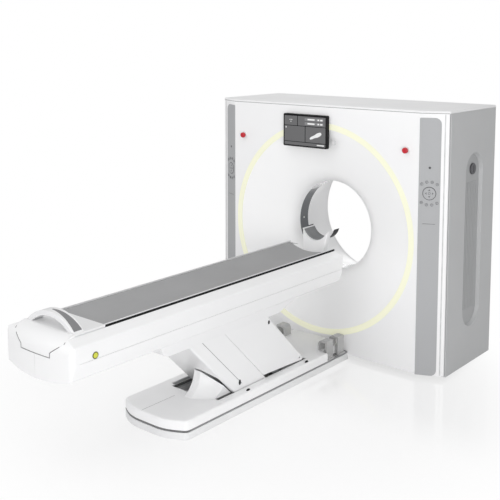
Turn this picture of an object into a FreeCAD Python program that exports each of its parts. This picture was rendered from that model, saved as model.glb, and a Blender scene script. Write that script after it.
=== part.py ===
import FreeCAD, Part
import math
import os

from FreeCAD import Vector

# Computed tomography scanner: a floor-standing gantry with a 700 mm bore, and a patient table
# that is carried by a parallelogram lift arm. Millimetres, +Z up, +Y from the table's foot
# towards the gantry, +X to the right. The origin is the centre of the footprint on the floor.

# ---- driving dimensions ----
half_width = 1055            # gantry
gantry_top = 1950
gantry_rear = 1800
front_face = 975             # flat middle of the front cover
wing_start = 861             # half width of that flat middle
wing_sweep = 24              # degrees that the outer wings sweep back
side_front = 1073            # front edge of the side covers
cover_top = 1932
bore_z = 978
bore_radius = 350
throat_front = 1204
throat_rear = 1310
rear_opening = 490
ring_inner = 787
ring_outer = 833
rotor_face = 1440            # front of the rotor's disc
rim_radius = 806

pivot_low_z = 75
pivot_high_z = 690
front_pivot_y = -175         # lower pivot of the front links
rear_pivot_y = 230           # lower pivot of the rear links
link_rise = pivot_high_z - pivot_low_z      # the links stand at 45 degrees in this pose
pin_radius = 15
running_gap = 0.05           # radial clearance of a pin in its bore

arm_front = -113             # the arm's long edges, measured square to the links
arm_seam = -29
arm_overlap = 122
arm_rear = 445
arm_wall = 4

table_top = 872
table_foot = -1700
shell_foot_corner = -1676
crown_radius = 95            # rounds the top of the table's foot end
shell_head = 863
shell_wall = 6
belly_z = 605                # lowest line of the table's body
housing_z = 548              # bottom of the housing round the arm's upper end
housing_foot, housing_head = -955, 190
cradle_half = 207
cradle_dip = 50              # how far the middle of the cradle lies under its edges
cradle_foot = -1379
cradle_head = shell_head + 20
mat_thickness = 8
handle_front = -1597
shoulder_inner = 223
deck_top = 778

base_half = 284
base_foot = -895
plate_top = 46
groove_top = 61
base_top = 121

to_centre = -(table_foot + gantry_rear) / 2     # brings the footprint's middle to the origin


# ---- helpers ----
def box(x0, x1, y0, y1, z0, z1):
    return Part.makeBox(x1 - x0, y1 - y0, z1 - z0, Vector(x0, y0, z0))


def rod(radius, start, end):
    axis = Vector(*end).sub(Vector(*start))
    return Part.makeCylinder(radius, axis.Length, Vector(*start), axis)


def tube(outer, inner, start, end):
    return rod(outer, start, end).cut(rod(inner, start, end))


def along_y(outer, inner, y0, y1):
    """Ring on the bore's axis."""
    return tube(outer, inner, (0, y0, bore_z), (0, y1, bore_z))


def mirrored(shape):
    return shape.mirror(Vector(0, 0, 0), Vector(1, 0, 0))


def both_sides(shape):
    return shape, mirrored(shape)


def joined(*shapes):
    first, *rest = shapes
    return first.fuse(rest).removeSplitter()


def corner_arc(before, corner, after, radius):
    """Arc that rounds the corner between two straight runs."""
    back = before.sub(corner).normalize()
    ahead = after.sub(corner).normalize()
    half_angle = back.getAngle(ahead) / 2
    reach = radius / math.tan(half_angle)
    bisector = back.add(ahead).normalize()
    middle = corner.add(bisector.multiply(radius / math.sin(half_angle) - radius))
    return Part.Arc(corner.add(back.multiply(reach)), middle, corner.add(ahead.multiply(reach)))


def rounded_wire(corners):
    """Closed wire through (point, radius) pairs; a radius of 0 leaves the corner sharp."""
    points = [Vector(*point) for point, _ in corners]
    radii = [radius for _, radius in corners]
    arcs = []
    for i, radius in enumerate(radii):
        before, corner, after = points[i - 1], points[i], points[(i + 1) % len(points)]
        arcs.append(corner_arc(before, corner, after, radius) if radius else None)
    edges = []
    for i, arc in enumerate(arcs):
        following = arcs[(i + 1) % len(arcs)]
        start = arc.EndPoint if arc else points[i]
        end = following.StartPoint if following else points[(i + 1) % len(points)]
        if arc:
            edges.append(arc.toShape())
        if start.distanceToPoint(end) > 1e-6:
            edges.append(Part.makeLine(start, end))
    return Part.Wire(edges)


def prism(wire, direction):
    return Part.Face(wire).extrude(Vector(*direction))


def plan_prism(corners, z0, z1):
    """Prism over an outline given as (x, y, radius)."""
    wire = rounded_wire([((x, y, z0), radius) for x, y, radius in corners])
    return prism(wire, (0, 0, z1 - z0))


def side_prism(corners, x0, x1):
    """Prism along X over an outline given as (y, z, radius)."""
    wire = rounded_wire([((x0, y, z), radius) for y, z, radius in corners])
    return prism(wire, (x1 - x0, 0, 0))


def front_prism(corners, y0, y1):
    """Prism along Y over an outline given as (x, z, radius)."""
    wire = rounded_wire([((x, y0, z), radius) for x, z, radius in corners])
    return prism(wire, (0, y1 - y0, 0))


def save(name, *shapes):
    solids = [solid for shape in shapes for solid in shape.Solids]
    shape = solids[0] if len(solids) == 1 else Part.makeCompound(solids)
    shape = shape.copy()
    shape.translate(Vector(0, to_centre, 0))
    shape.exportStep("parts/" + name + ".step")


# ---- gantry covers ----
def wing_depth(half, face):
    """How far back the swept wings have come at a half width."""
    return face + (half - wing_start) * math.tan(math.radians(wing_sweep))


def front_outline(half, face, rear):
    swept = wing_depth(half, face)
    return [(-half, rear, 0), (-half, swept, 0), (-wing_start, face, 0),
            (wing_start, face, 0), (half, swept, 0), (half, rear, 0)]


def on_wing(shape):
    """Moves a shape drawn flat at the origin (X along, -Y out) onto the right-hand wing."""
    placed = shape.copy()
    placed.rotate(Vector(0, 0, 0), Vector(0, 0, 1), wing_sweep)
    placed.translate(Vector(wing_start, front_face, 0))
    return placed


strip_width = 151
strip_bottom = 25
strip_top = 1900
strip_thickness = 4
dial_z = 1362
dial_radius = 43
stop_x = 758
stop_z = 1660


def strip_blank(thickness, grow=0.0):
    outline = [(-grow, strip_bottom, 0), (strip_width + grow, strip_bottom, 45),
               (strip_width + grow, strip_top + grow, 45), (-grow, strip_top + grow, 8)]
    return front_prism(outline, -1, thickness)


def bore_funnel():
    """Shallow dish inside the light ring, which runs into the rounded lip of the bore."""
    wall = 8
    slope = (1080 - front_face) / (ring_inner - 470)
    lip_start = (470, 1080)
    lip_corner = (bore_radius, 1080 + (470 - bore_radius) * slope)
    lip_end = (bore_radius, throat_front)

    def at(radius, y):
        return Vector(radius, y, bore_z)

    def lip(offset):
        curve = Part.BezierCurve()
        curve.setPoles([at(lip_start[0] + 2, lip_start[1] + offset),
                        at(lip_corner[0] + offset, lip_corner[1] + offset),
                        at(lip_end[0] + offset, lip_end[1])])
        return curve.toShape()

    front, back = lip(0), lip(wall)
    rim_front, rim_back = at(ring_inner, front_face + 4), at(ring_inner, front_face + 12)
    profile = Part.Wire([Part.makeLine(rim_front, front.Vertexes[0].Point), front,
                         Part.makeLine(front.Vertexes[-1].Point, back.Vertexes[-1].Point), back,
                         Part.makeLine(back.Vertexes[0].Point, rim_back),
                         Part.makeLine(rim_back, rim_front)])
    return Part.Face(profile).revolve(Vector(0, 0, bore_z), Vector(0, 1, 0), 360)


def front_cover():
    half = half_width - 8
    skin = plan_prism(front_outline(half, front_face, 1066), 30, cover_top)
    hollow_half = half - 14
    hollow = plan_prism(front_outline(hollow_half, front_face + 18, 1100), 48, cover_top - 18)
    cover = skin.cut(hollow)
    cover = cover.cut(rod(ring_inner, (0, 900, bore_z), (0, 1100, bore_z)))
    cover = cover.cut(rod(ring_outer, (0, 900, bore_z), (0, front_face + 8, bore_z)))
    foot = box(-850, 850, front_face + 18, 1120, 40, 46)
    pocket = on_wing(strip_blank(strip_thickness, grow=0.5))
    dial_seat = on_wing(rod(dial_radius + 0.6, (strip_width / 2, -1, dial_z),
                            (strip_width / 2, 12, dial_z)))
    for cut in (pocket, dial_seat):
        cover = cover.cut(Part.makeCompound(both_sides(cut)))
    for x in (-stop_x, stop_x):
        cover = cover.cut(rod(11.6, (x, 900, stop_z), (x, 1100, stop_z)))
    return joined(cover, foot, *stop_collars())


def light_ring():
    return along_y(ring_outer - 0.3, ring_inner + 0.3, front_face, front_face + 8)


def control_strip():
    strip = strip_blank(strip_thickness).cut(box(-5, strip_width + 5, -5, 0, 0, cover_top))
    opening = rod(dial_radius + 0.6, (strip_width / 2, -5, dial_z), (strip_width / 2, 20, dial_z))
    return on_wing(strip.cut(opening))


def dial():
    """Round push pad with a raised rim, in the middle of the key cluster."""
    centre = strip_width / 2
    pad = rod(dial_radius, (centre, -3, dial_z), (centre, 7, dial_z))
    dished = rod(dial_radius - 6, (centre, -4, dial_z), (centre, -1.5, dial_z))
    return on_wing(pad.cut(dished))


def stop_collars():
    return [tube(27, 16, (x, front_face - 7, stop_z), (x, front_face, stop_z))
            for x in (-stop_x, stop_x)]


def stop_cap(x):
    """Mushroom head and stem of an emergency stop."""
    head = rod(21.5, (x, front_face - 34, stop_z), (x, front_face - 15, stop_z))
    head = head.makeFillet(8, [edge for edge in head.Edges
                               if abs(edge.BoundBox.YMax - (front_face - 34)) < 0.1])
    stem = rod(11, (x, front_face - 17, stop_z), (x, front_face + 24, stop_z))
    return joined(head, stem)


display = dict(x0=-328, x1=87, z0=1612, z1=1867, proud=34, rim=9)


def display_housing():
    face = front_face - display["proud"]
    outline = [(display["x0"], display["z0"], 10), (display["x1"], display["z0"], 10),
               (display["x1"], display["z1"], 10), (display["x0"], display["z1"], 10)]
    body = front_prism(outline, face, front_face)
    body = body.makeFillet(4, [edge for edge in body.Edges if edge.BoundBox.YMax < face + 0.1])
    return body.cut(display_pane(0, 4))


def display_pane(front, back):
    face = front_face - display["proud"]
    rim = display["rim"]
    outline = [(display["x0"] + rim, display["z0"] + rim, 3),
               (display["x1"] - rim, display["z0"] + rim, 3),
               (display["x1"] - rim, display["z1"] - rim, 3),
               (display["x0"] + rim, display["z1"] - rim, 3)]
    return front_prism(outline, face + front, face + back)


recess = dict(y0=1319, y1=1596, z0=307, z1=1620, depth=26, inset=13)


def obround(x, inset):
    y0, y1 = recess["y0"] + inset, recess["y1"] - inset
    radius = (y1 - y0) / 2 - 0.5
    corners = [(y0, recess["z0"] + inset), (y1, recess["z0"] + inset),
               (y1, recess["z1"] - inset), (y0, recess["z1"] - inset)]
    return rounded_wire([((x, y, z), radius) for y, z in corners])


def recess_plug(grow):
    """The tapered space of the grip recess, grown by a wall."""
    outer = obround(half_width + 0.5, -grow)
    inner = obround(half_width - recess["depth"] - (0.01 if grow == 0 else 0), recess["inset"] - grow)
    return Part.makeLoft([outer, inner], True, True)


def side_cover():
    wall = 6
    top, bottom = cover_top, 20
    front_lip = 34
    skin = plan_prism([(half_width - wall, side_front, 0), (half_width, side_front, 5),
                       (half_width, gantry_rear, 5), (half_width - 40, gantry_rear, 0),
                       (half_width - 40, gantry_rear - wall, 0),
                       (half_width - wall, gantry_rear - wall, 0)], bottom, top)
    lip = box(half_width - front_lip, half_width - wall, side_front, side_front + wall, bottom, top)
    foot = box(980, half_width - wall, 1120, 1760, bottom + 5, bottom + 11)
    cap = box(half_width - 30, half_width - wall, side_front, gantry_rear - wall, top - 6, top)
    shell = joined(skin, lip, foot, cap, recess_plug(4))
    outside = box(half_width, half_width + 20, 1000, 1900, 0, 2000)
    floor = box(900, half_width - recess["depth"], 1300, 1620, 280, 1660)
    return shell.cut(outside).cut(recess_plug(0)).cut(floor)


lock_y = 1471
lock_z = 1496
grille_x = half_width - recess["depth"]


def side_grille():
    """Ribbed panel at the bottom of the grip recess, with the lock's hole."""
    thickness = 5
    panel = prism(obround(grille_x - thickness, recess["inset"] - 5), (thickness, 0, 0))
    middle = (recess["y0"] + recess["y1"]) / 2
    pitch, rib = 26, 9
    ribs = [box(grille_x - 1, grille_x + 3, middle + i * pitch - rib / 2,
                middle + i * pitch + rib / 2, 440, 1400) for i in range(-3, 4)]
    hole = rod(8.4, (grille_x - 20, lock_y, lock_z), (grille_x + 20, lock_y, lock_z))
    return joined(panel, *ribs).cut(hole)


def side_lock():
    """Quarter-turn lock: a round head with a coin slot, and its spindle."""
    head = rod(42, (grille_x + 0.4, lock_y, lock_z), (grille_x + 13, lock_y, lock_z))
    head = head.makeChamfer(3, [edge for edge in head.Edges
                                if edge.BoundBox.XMin > grille_x + 12.9])
    spindle = rod(8, (grille_x - 16, lock_y, lock_z), (grille_x + 1, lock_y, lock_z))
    slot = box(grille_x + 9, grille_x + 14, lock_y - 3.5, lock_y + 3.5, lock_z - 26, lock_z + 26)
    cam = box(grille_x - 15, grille_x - 11, lock_y - 9, lock_y + 9, lock_z - 34, lock_z + 9)
    return joined(head, spindle, cam).cut(slot)


def top_cover():
    lid = plan_prism(front_outline(half_width, front_face, gantry_rear), cover_top, gantry_top)
    upper = [edge for edge in lid.Edges
             if edge.BoundBox.ZMin > gantry_top - 0.1 and edge.BoundBox.YMin < gantry_rear - 1]
    return lid.makeChamfer(7, upper)


def rear_cover():
    half = half_width - 41
    sheet = box(-half, half, gantry_rear - 18, gantry_rear, 30, cover_top)
    hollow = box(-half + 12, half - 12, gantry_rear - 20, gantry_rear - 5, 42, cover_top - 12)
    collar = along_y(rear_opening + 14, rear_opening, gantry_rear - 18, gantry_rear)
    opening = rod(rear_opening, (0, 1700, bore_z), (0, 1900, bore_z))
    foot = box(-880, 880, 1760, gantry_rear - 12, 42, 48)
    cover = joined(sheet.cut(hollow), collar, foot).cut(opening)
    vents = [box(x - 60, x + 60, 1700, 1900, z, z + 8)
             for x in (-860, 860) for z in range(1560, 1840, 30)]
    return cover.cut(Part.makeCompound(vents))


def scan_window():
    """Dark band that the beam passes through, with its laser ports."""
    band = along_y(bore_radius + 7, bore_radius, throat_front, throat_rear)
    ports = [rod(9, (0, 1257, bore_z), (500 * math.cos(a), 1257, bore_z + 500 * math.sin(a)))
             for a in (math.radians(degrees) for degrees in (0, 90, 180))]
    return band.cut(Part.makeCompound(ports))


def rear_tunnel():
    length = gantry_rear - 18 - throat_rear
    start, axis = Vector(0, throat_rear, bore_z), Vector(0, 1, 0)
    outer = Part.makeCone(bore_radius + 7, rear_opening + 7, length, start, axis)
    inner = Part.makeCone(bore_radius, rear_opening, length, start, axis)
    return outer.cut(inner)


# ---- gantry frame and drive ----
anchor_x, anchor_y0, anchor_y1 = 940, 1160, 1720
motor_x, motor_z, pulley_radius = -860, 205, 70


def floor_frame():
    frame = box(-980, 980, 1120, 1760, 25, 95).cut(box(-900, 900, 1200, 1540, 0, 120))
    holes = [rod(9, (x, y, 0), (x, y, 120)) for x in (-anchor_x, anchor_x)
             for y in (anchor_y0, anchor_y1)]
    return frame.cut(Part.makeCompound(holes))


def levelling_feet():
    feet = []
    for x in (-anchor_x, anchor_x):
        for y in (anchor_y0 + 90, anchor_y1 - 90):
            pad = Part.makeCone(42, 30, 12, Vector(x, y, 0))
            feet.append(joined(pad, rod(12, (x, y, 12), (x, y, 25))))
    return feet


def stator_frame():
    """Cast stand that holds the main bearing, with two legs down to the floor frame."""
    legs = front_prism([(-760, 95, 0), (760, 95, 0), (620, 560, 60), (520, bore_z, 80),
                        (-520, bore_z, 80), (-620, 560, 60)], 1540, 1600)
    disc = rod(640, (0, 1540, bore_z), (0, 1600, bore_z))
    bearing_seat = rod(550, (0, 1500, bore_z), (0, 1700, bore_z))
    window = front_prism([(-430, 135, 30), (430, 135, 30), (300, 330, 30), (-300, 330, 30)],
                         1500, 1700)
    toes = [box(x - 90, x + 90, 1500, 1680, 95, 107) for x in (-640, 640)]
    return joined(legs, disc, *toes).cut(bearing_seat).cut(window)


def rotor_drum():
    """Disc with its belt rim and the hub that sits in the main bearing."""
    disc = along_y(rim_radius - 8, 425, rotor_face, rotor_face + 22)
    rim = along_y(rim_radius, rim_radius - 16, rotor_face - 34, rotor_face + 50)
    guides = [along_y(rim_radius + 8, rim_radius - 4, y, y + 5)
              for y in (rotor_face - 34, rotor_face + 45)]
    hub = along_y(470, 458, rotor_face + 10, 1640)
    return joined(disc, rim, hub, *guides)


def bearing_outer_race():
    race = along_y(550, 510, 1540, 1600)
    return race.cut(along_y(516, 500, 1562, 1578))


def bearing_inner_race():
    race = along_y(509, 470, 1545, 1595)
    return race.cut(along_y(520, 503, 1562, 1578))


def slip_ring():
    plate = along_y(605, 470, 1618, 1638)
    grooves = [along_y(r + 10, r, 1634, 1640) for r in (500, 530, 560, 590)]
    return plate.cut(Part.makeCompound(grooves))


def xray_tube():
    """Tube housing over the bore, its end caps, collimator and foot on the disc."""
    z = bore_z + 620
    housing = rod(112, (0, 1150, z), (0, 1400, z))
    caps = [rod(88, (0, 1128, z), (0, 1150, z)), rod(88, (0, 1400, z), (0, rotor_face, z))]
    collimator = front_prism([(-60, bore_z + 400, 0), (60, bore_z + 400, 0),
                              (90, bore_z + 540, 0), (-90, bore_z + 540, 0)], 1200, 1314)
    foot = box(-130, 130, 1330, rotor_face, z - 150, z - 60)
    return joined(housing, collimator, foot, *caps)


def ring_sector(outer, inner, y0, y1, middle, spread):
    """Part of a ring on the bore's axis, spread about a direction in degrees from +X."""
    sector = Part.makeCylinder(outer, y1 - y0, Vector(0, y0, bore_z), Vector(0, 1, 0), spread)
    sector = sector.cut(rod(inner, (0, y0, bore_z), (0, y1, bore_z))).Solids[0]
    found = math.degrees(math.atan2(sector.CenterOfMass.z - bore_z, sector.CenterOfMass.x))
    sector.rotate(Vector(0, 0, bore_z), Vector(0, -1, 0), middle - found)
    return sector


def detector_arc():
    modules = ring_sector(560, 500, 1198, 1316, 270, 78)
    backbone = ring_sector(600, 556, 1230, rotor_face, 270, 70)
    return joined(modules, backbone)


def generator_tank():
    tank = box(470, 690, 1180, rotor_face, bore_z - 190, bore_z + 190)
    tank = tank.makeFillet(14, [edge for edge in tank.Edges if edge.Length > 300])
    lugs = [rod(22, (580, 1150, z), (580, 1182, z)) for z in (bore_z - 110, bore_z + 110)]
    return joined(tank, *lugs)


def counterweight():
    block = ring_sector(770, 620, 1330, rotor_face, 205, 34)
    return block


def motor_pulley():
    y0, y1 = rotor_face - 26, rotor_face + 42
    wheel = rod(pulley_radius, (motor_x, y0, motor_z), (motor_x, y1, motor_z))
    shaft = rod(14, (motor_x, y1, motor_z), (motor_x, y1 + 46, motor_z))
    return joined(wheel, shaft)


def drive_motor():
    y0 = rotor_face + 62
    body = rod(96, (motor_x, y0, motor_z), (motor_x, y0 + 220, motor_z))
    seat = box(motor_x - 60, motor_x + 60, 1560, 1700, 95, motor_z)
    bore = rod(14 + 0.3, (motor_x, y0 - 10, motor_z), (motor_x, y0 + 60, motor_z))
    return joined(body, seat).cut(bore)


def belt_loop(grow, y0, y1):
    """Solid that a taut belt encloses, round the rim and the motor pulley."""
    big, small = rim_radius + 0.6 + grow, pulley_radius + 0.6 + grow
    axis = Vector(motor_x, 0, motor_z - bore_z)
    distance = axis.Length
    towards = axis.normalize()
    across = Vector(-towards.z, 0, towards.x)
    lean = (big - small) / distance
    rise = math.sqrt(1 - lean * lean)
    centres = ((0, bore_z, big), (motor_x, motor_z, small))
    corners = []
    for side in (1, -1):
        normal = towards * lean + across * (side * rise)
        pair = [Vector(x, y0, z) + normal * radius for x, z, radius in centres]
        corners += pair if side == 1 else pair[::-1]
    web = prism(Part.makePolygon([*corners, corners[0]]), (0, y1 - y0, 0))
    wheels = [rod(radius, (x, y0, z), (x, y1, z)) for x, z, radius in centres]
    return web.fuse(wheels)


def drive_belt():
    y0, y1 = rotor_face - 20, rotor_face + 36
    return belt_loop(5, y0, y1).cut(belt_loop(0, y0 - 1, y1 + 1))


def slip_ring_brushes():
    """Brush block behind the slip ring, on an arm from the top of the stand."""
    top = bore_z + 634
    arm = box(-40, 40, 1600, 1690, top - 24, top)
    block = box(-34, 34, 1639, 1690, top - 150, top - 20)
    return joined(arm, block)


# ---- table base ----
def base_outline(inset, rear=front_face):
    half = base_half - inset
    return [(-half, rear, 0), (-half, -800, 45), (-150, base_foot + 22 + inset, 300),
            (150, base_foot + 22 + inset, 300), (half, -800, 45), (half, rear, 0)]


anchor_foot_y, anchor_head_y = -640, 660
anchor_half = 258


def base_plate():
    plate = plan_prism(base_outline(0), 0, plate_top)
    pit = box(-235, 235, -480, 600, 12, 60)
    tongue = box(-230, 230, front_face, 1120, 0, 25)
    holes = [rod(7, (x, y, -1), (x, y, 60)) for x in (-anchor_half, anchor_half)
             for y in (anchor_foot_y, anchor_head_y)]
    return joined(plate, tongue).cut(pit).cut(Part.makeCompound(holes))


def base_groove_strip():
    band = plan_prism(base_outline(7), plate_top, groove_top)
    return band.cut(box(-235, 235, -480, 600, 40, 70)).cut(
        plan_prism(base_outline(16, rear=front_face - 12), 40, 70))


def base_cover():
    skin = plan_prism(base_outline(0), groove_top, base_top)
    rim = [edge for edge in skin.Edges
           if edge.BoundBox.ZMin > base_top - 0.1 and edge.BoundBox.YMin < front_face - 1]
    skin = skin.makeFillet(14, rim)
    hollow = plan_prism(base_outline(6, rear=front_face - 6), groove_top - 1, base_top - 6)
    notches = [box(x, x + 60, 700, front_face + 1, 50, 130) for x in (-290, 230)]
    notch_walls = [box(x, x + 6, 694, front_face, groove_top, base_top - 3) for x in (-230, 224)]
    notch_ends = [box(x, x + 60, 694, 700, groove_top, base_top - 8) for x in (-284, 224)]
    arm_slot = box(-217, 217, -285, 518, 50, 130)
    plate_slots = [box(x, x + 33, -440, -280, 50, 130) for x in (-217, 184)]
    bay = box(-184, 4, -470, -280, 50, 130)
    cover = joined(skin.cut(hollow), *notch_walls).cut(Part.makeCompound(notches))
    cover = joined(cover, *[end.common(box(-284, 284, 600, 750, 0, 200)) for end in notch_ends])
    return cover.cut(Part.makeCompound([arm_slot, *plate_slots, bay]))


def base_fairing():
    """Wedge under the arm: a concave front strip on the left, flaring out to the right."""
    def section(x, front, lowest, top, rear):
        sag = 0.62
        middle = Vector(x, front + (top[0] - front) * sag, lowest + (top[1] - lowest) * 0.36)
        foot, peak = Vector(x, front, lowest), Vector(x, *top)
        heel = Vector(x, rear, lowest)
        return Part.Wire([Part.Arc(foot, middle, peak).toShape(), Part.makeLine(peak, heel),
                          Part.makeLine(heel, foot)])

    full = [section(x, -540, base_top, (-445, 275), -291) for x in (7, 62)]
    edge = section(182, -468, base_top, (-352, 182), -291)
    return joined(Part.makeLoft(full, True, True), Part.makeLoft([full[1], edge], True, True))


def pivot_stand():
    """Two cheek plates in the base's pit, with both lower pivot pins."""
    cheek = side_prism([(-250, 12, 0), (310, 12, 0), (275, 112, 36), (185, 112, 36),
                        (120, 60, 30), (-90, 60, 30), (-130, 112, 36), (-220, 112, 36)], 168, 182)
    tie = box(-168, 168, 60, 80, 12, 40)
    pins = [rod(pin_radius, (-205, front_pivot_y, pivot_low_z), (205, front_pivot_y, pivot_low_z)),
            rod(pin_radius, (-194, rear_pivot_y, pivot_low_z), (194, rear_pivot_y, pivot_low_z))]
    return joined(*both_sides(cheek), tie, *pins)


def anchor_brackets():
    """Inverted-U straps bent from plate, with their feet on the base."""
    def strap(y0, y1):
        outer = front_prism([(188, base_top, 0), (200, base_top, 0), (200, 188, 22),
                             (260, 188, 8), (260, groove_top, 0), (284, groove_top, 0),
                             (284, groove_top + 12, 0), (272, groove_top + 12, 2),
                             (272, 202, 8), (188, 202, 34)], y0, y1)
        return outer

    return [strap(708, 788), strap(852, 930), mirrored(strap(790, 870))]


# ---- lift arm ----
def from_links(n, u):
    """(y, z) of a point given square to the links (n) and along them (u)."""
    half_root = math.sqrt(0.5)
    return (n - u) * half_root, (n + u) * half_root


def link_bar(pivot_y, x0, x1):
    """Flat bar between a lower and an upper pivot, with round ends and bores."""
    low = (pivot_y, pivot_low_z)
    high = (pivot_y - link_rise, pivot_high_z)
    reach = 26 * math.sqrt(0.5)
    bar = side_prism([(low[0] - reach, low[1] - reach, 0), (low[0] + reach, low[1] + reach, 0),
                      (high[0] + reach, high[1] + reach, 0), (high[0] - reach, high[1] - reach, 0)],
                     x0, x1)
    ends = [rod(27, (x0, *point), (x1, *point)) for point in (low, high)]
    bores = [rod(pin_radius + running_gap, (x0 - 1, *point), (x1 + 1, *point))
             for point in (low, high)]
    return joined(bar, *ends).cut(Part.makeCompound(bores))


def front_arm_links():
    bars = both_sides(link_bar(front_pivot_y, 195.5, 205.5))
    y, z = from_links(-71, 860)
    return joined(*bars, rod(20, (-200, y, z), (200, y, z)))


def rear_arm_links():
    bar = link_bar(rear_pivot_y, 184, 194)
    y, z = from_links(arm_overlap + 214, 330)
    corners = [from_links(216, 180), from_links(360, 300), from_links(360, 360),
               from_links(216, 480)]
    gusset = side_prism([(a, b, 0) for a, b in corners], 184, 194)
    return joined(*both_sides(joined(bar, gusset)), rod(24, (-211, y, z), (211, y, z)))


def rounded_along(solid, n, radius):
    """Rounds the two long edges of an arm cover that lie at a distance n, along the links."""
    root_two = math.sqrt(2)
    edges = [edge for edge in solid.Edges if edge.Length > 300 and
             abs((edge.CenterOfMass.y + edge.CenterOfMass.z) / root_two - n) < 0.5]
    return solid.makeFillet(radius, edges)


def slanted_cut(n0, n1, u0, u1, x0, x1):
    corners = [from_links(n0, u0), from_links(n1, u0), from_links(n1, u1), from_links(n0, u1)]
    return side_prism([(y, z, 0) for y, z in corners], x0, x1)


def on_line(n, z):
    """y where a line at distance n, parallel to the links, has the height z."""
    return n * math.sqrt(2) - z


def fairing_pocket(wall, n0, n1):
    """Space in the arm that takes the base's fairing when the table is low."""
    slope_start, slope_end, top, side = 66, 462, 518, 184
    corners = [(3 - wall, 60), (side + wall, 60), (side + wall, slope_end + wall),
               (slope_start + wall / 3, top + wall), (3 - wall, top + wall)]
    face = Part.makePolygon([Vector(x, *from_links(n0, u)) for x, u in (*corners, corners[0])])
    step = (n1 - n0) * math.sqrt(0.5)
    return prism(face, (0, step, step))


def front_arm_cover():
    low = 100
    outline = [(on_line(arm_front, low), low, 0), (on_line(arm_overlap, low), low, 0),
               (on_line(arm_overlap, belly_z), belly_z, 0), (-600, 640, 0),
               (on_line(arm_front, 640), 640, 0)]
    inside = arm_front + arm_wall
    inner = [(on_line(inside, low - 20), low - 20, 0),
             (on_line(arm_overlap + 40, low - 20), low - 20, 0),
             (on_line(arm_overlap + 40, 700), 700, 0), (on_line(inside, 700), 700, 0)]
    shell = rounded_along(side_prism(outline, -209.5, 209.5), arm_front, 14)
    shell = shell.cut(rounded_along(side_prism(inner, -205.5, 205.5), inside, 14 - arm_wall))
    pocket = fairing_pocket(3, arm_front + 1, 37).cut(box(-300, 300, -900, 300, -300, low))
    mouth = fairing_pocket(0, arm_front - 20, 34)
    seam = [slanted_cut(arm_seam - 1, arm_seam + 1, 100, 900, x, x + 1.5) for x in (-210, 208.5)]
    slots = [slanted_cut(arm_seam - 24, arm_seam - 14, 196, 214, x, x + 8) for x in (-212, 204)]
    return joined(shell, pocket).cut(Part.makeCompound([mouth, *seam, *slots]))


def rear_arm_cover():
    low_front, low_rear = 146, 125
    outline = [(on_line(arm_overlap, low_front), low_front, 0),
               (on_line(arm_rear, low_rear), low_rear, 0),
               (on_line(arm_rear, 560), 560, 0), (-20, belly_z, 0),
               (on_line(arm_overlap, belly_z), belly_z, 0)]
    inside = arm_rear - arm_wall
    inner = [(on_line(arm_overlap - 40, 80), 80, 0), (on_line(inside, 80), 80, 0),
             (on_line(inside, 700), 700, 0), (on_line(arm_overlap - 40, 700), 700, 0)]
    shell = rounded_along(side_prism(outline, -215, 215), arm_rear, 16)
    shell = shell.cut(rounded_along(side_prism(inner, -211, 211), inside, 16 - arm_wall))
    slots = [slanted_cut(arm_rear - 33, arm_rear - 19, u0, u0 + 12, x, x + 8)
             for x in (-218, 210) for u0 in (288, -214)]
    return shell.cut(Part.makeCompound(slots))


rod_pin = (rear_pivot_y - link_rise, pivot_high_z)
actuator_x0, actuator_x1 = -112, -68


def actuator_line(distance):
    """(y, z) of a point on the actuator's axis, measured from its lower pivot."""
    dy, dz = rod_pin[0] - front_pivot_y, rod_pin[1] - pivot_low_z
    length = math.hypot(dy, dz)
    return front_pivot_y + dy * distance / length, pivot_low_z + dz * distance / length


def actuator_tube():
    x = (actuator_x0 + actuator_x1) / 2
    barrel = rod(30, (x, *actuator_line(18)), (x, *actuator_line(430)))
    motor = rod(26, (x - 62, *actuator_line(70)), (x - 62, *actuator_line(230)))
    gearbox = rod(34, (x - 62, *actuator_line(60)), (x - 62, *actuator_line(84)))
    bridge = box(x - 62, x, -230, -150, 118, 146)
    eye = rod(26, (actuator_x0, *actuator_line(0)), (actuator_x1, *actuator_line(0)))
    bores = [rod(pin_radius + running_gap, (actuator_x0 - 1, *actuator_line(0)),
                 (actuator_x1 + 1, *actuator_line(0))),
             rod(16.05, (x, *actuator_line(60)), (x, *actuator_line(440)))]
    return joined(barrel, motor, gearbox, bridge, eye).cut(Part.makeCompound(bores))


def actuator_rod():
    """Lifting rod; its eye is wide, because it stands off the pin that it really holds."""
    x = (actuator_x0 + actuator_x1) / 2
    rod_end = rod(44, (x - 11, *rod_pin), (x + 11, *rod_pin))
    stem = rod(16, (x, *actuator_line(240)), (x, *actuator_line(620)))
    return joined(rod_end, stem).cut(rod(31, (x - 30, *rod_pin), (x + 30, *rod_pin)))


# ---- table ----
half_width_of_end = 301


def shell_section(inset, y0, y1):
    half = [(221, 858, 0), (300, 830, 14), (298, 745, 0), (285, 643, 18), (150, 615, 600)]
    shrunk = [(x - inset, z - inset if z > 700 else z + inset, max(radius - inset, 0))
              for x, z, radius in half]
    outline = [*shrunk, (0, belly_z + inset, 600), *[(-x, z, r) for x, z, r in shrunk[::-1]]]
    return front_prism(outline, y0, y1)


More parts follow.
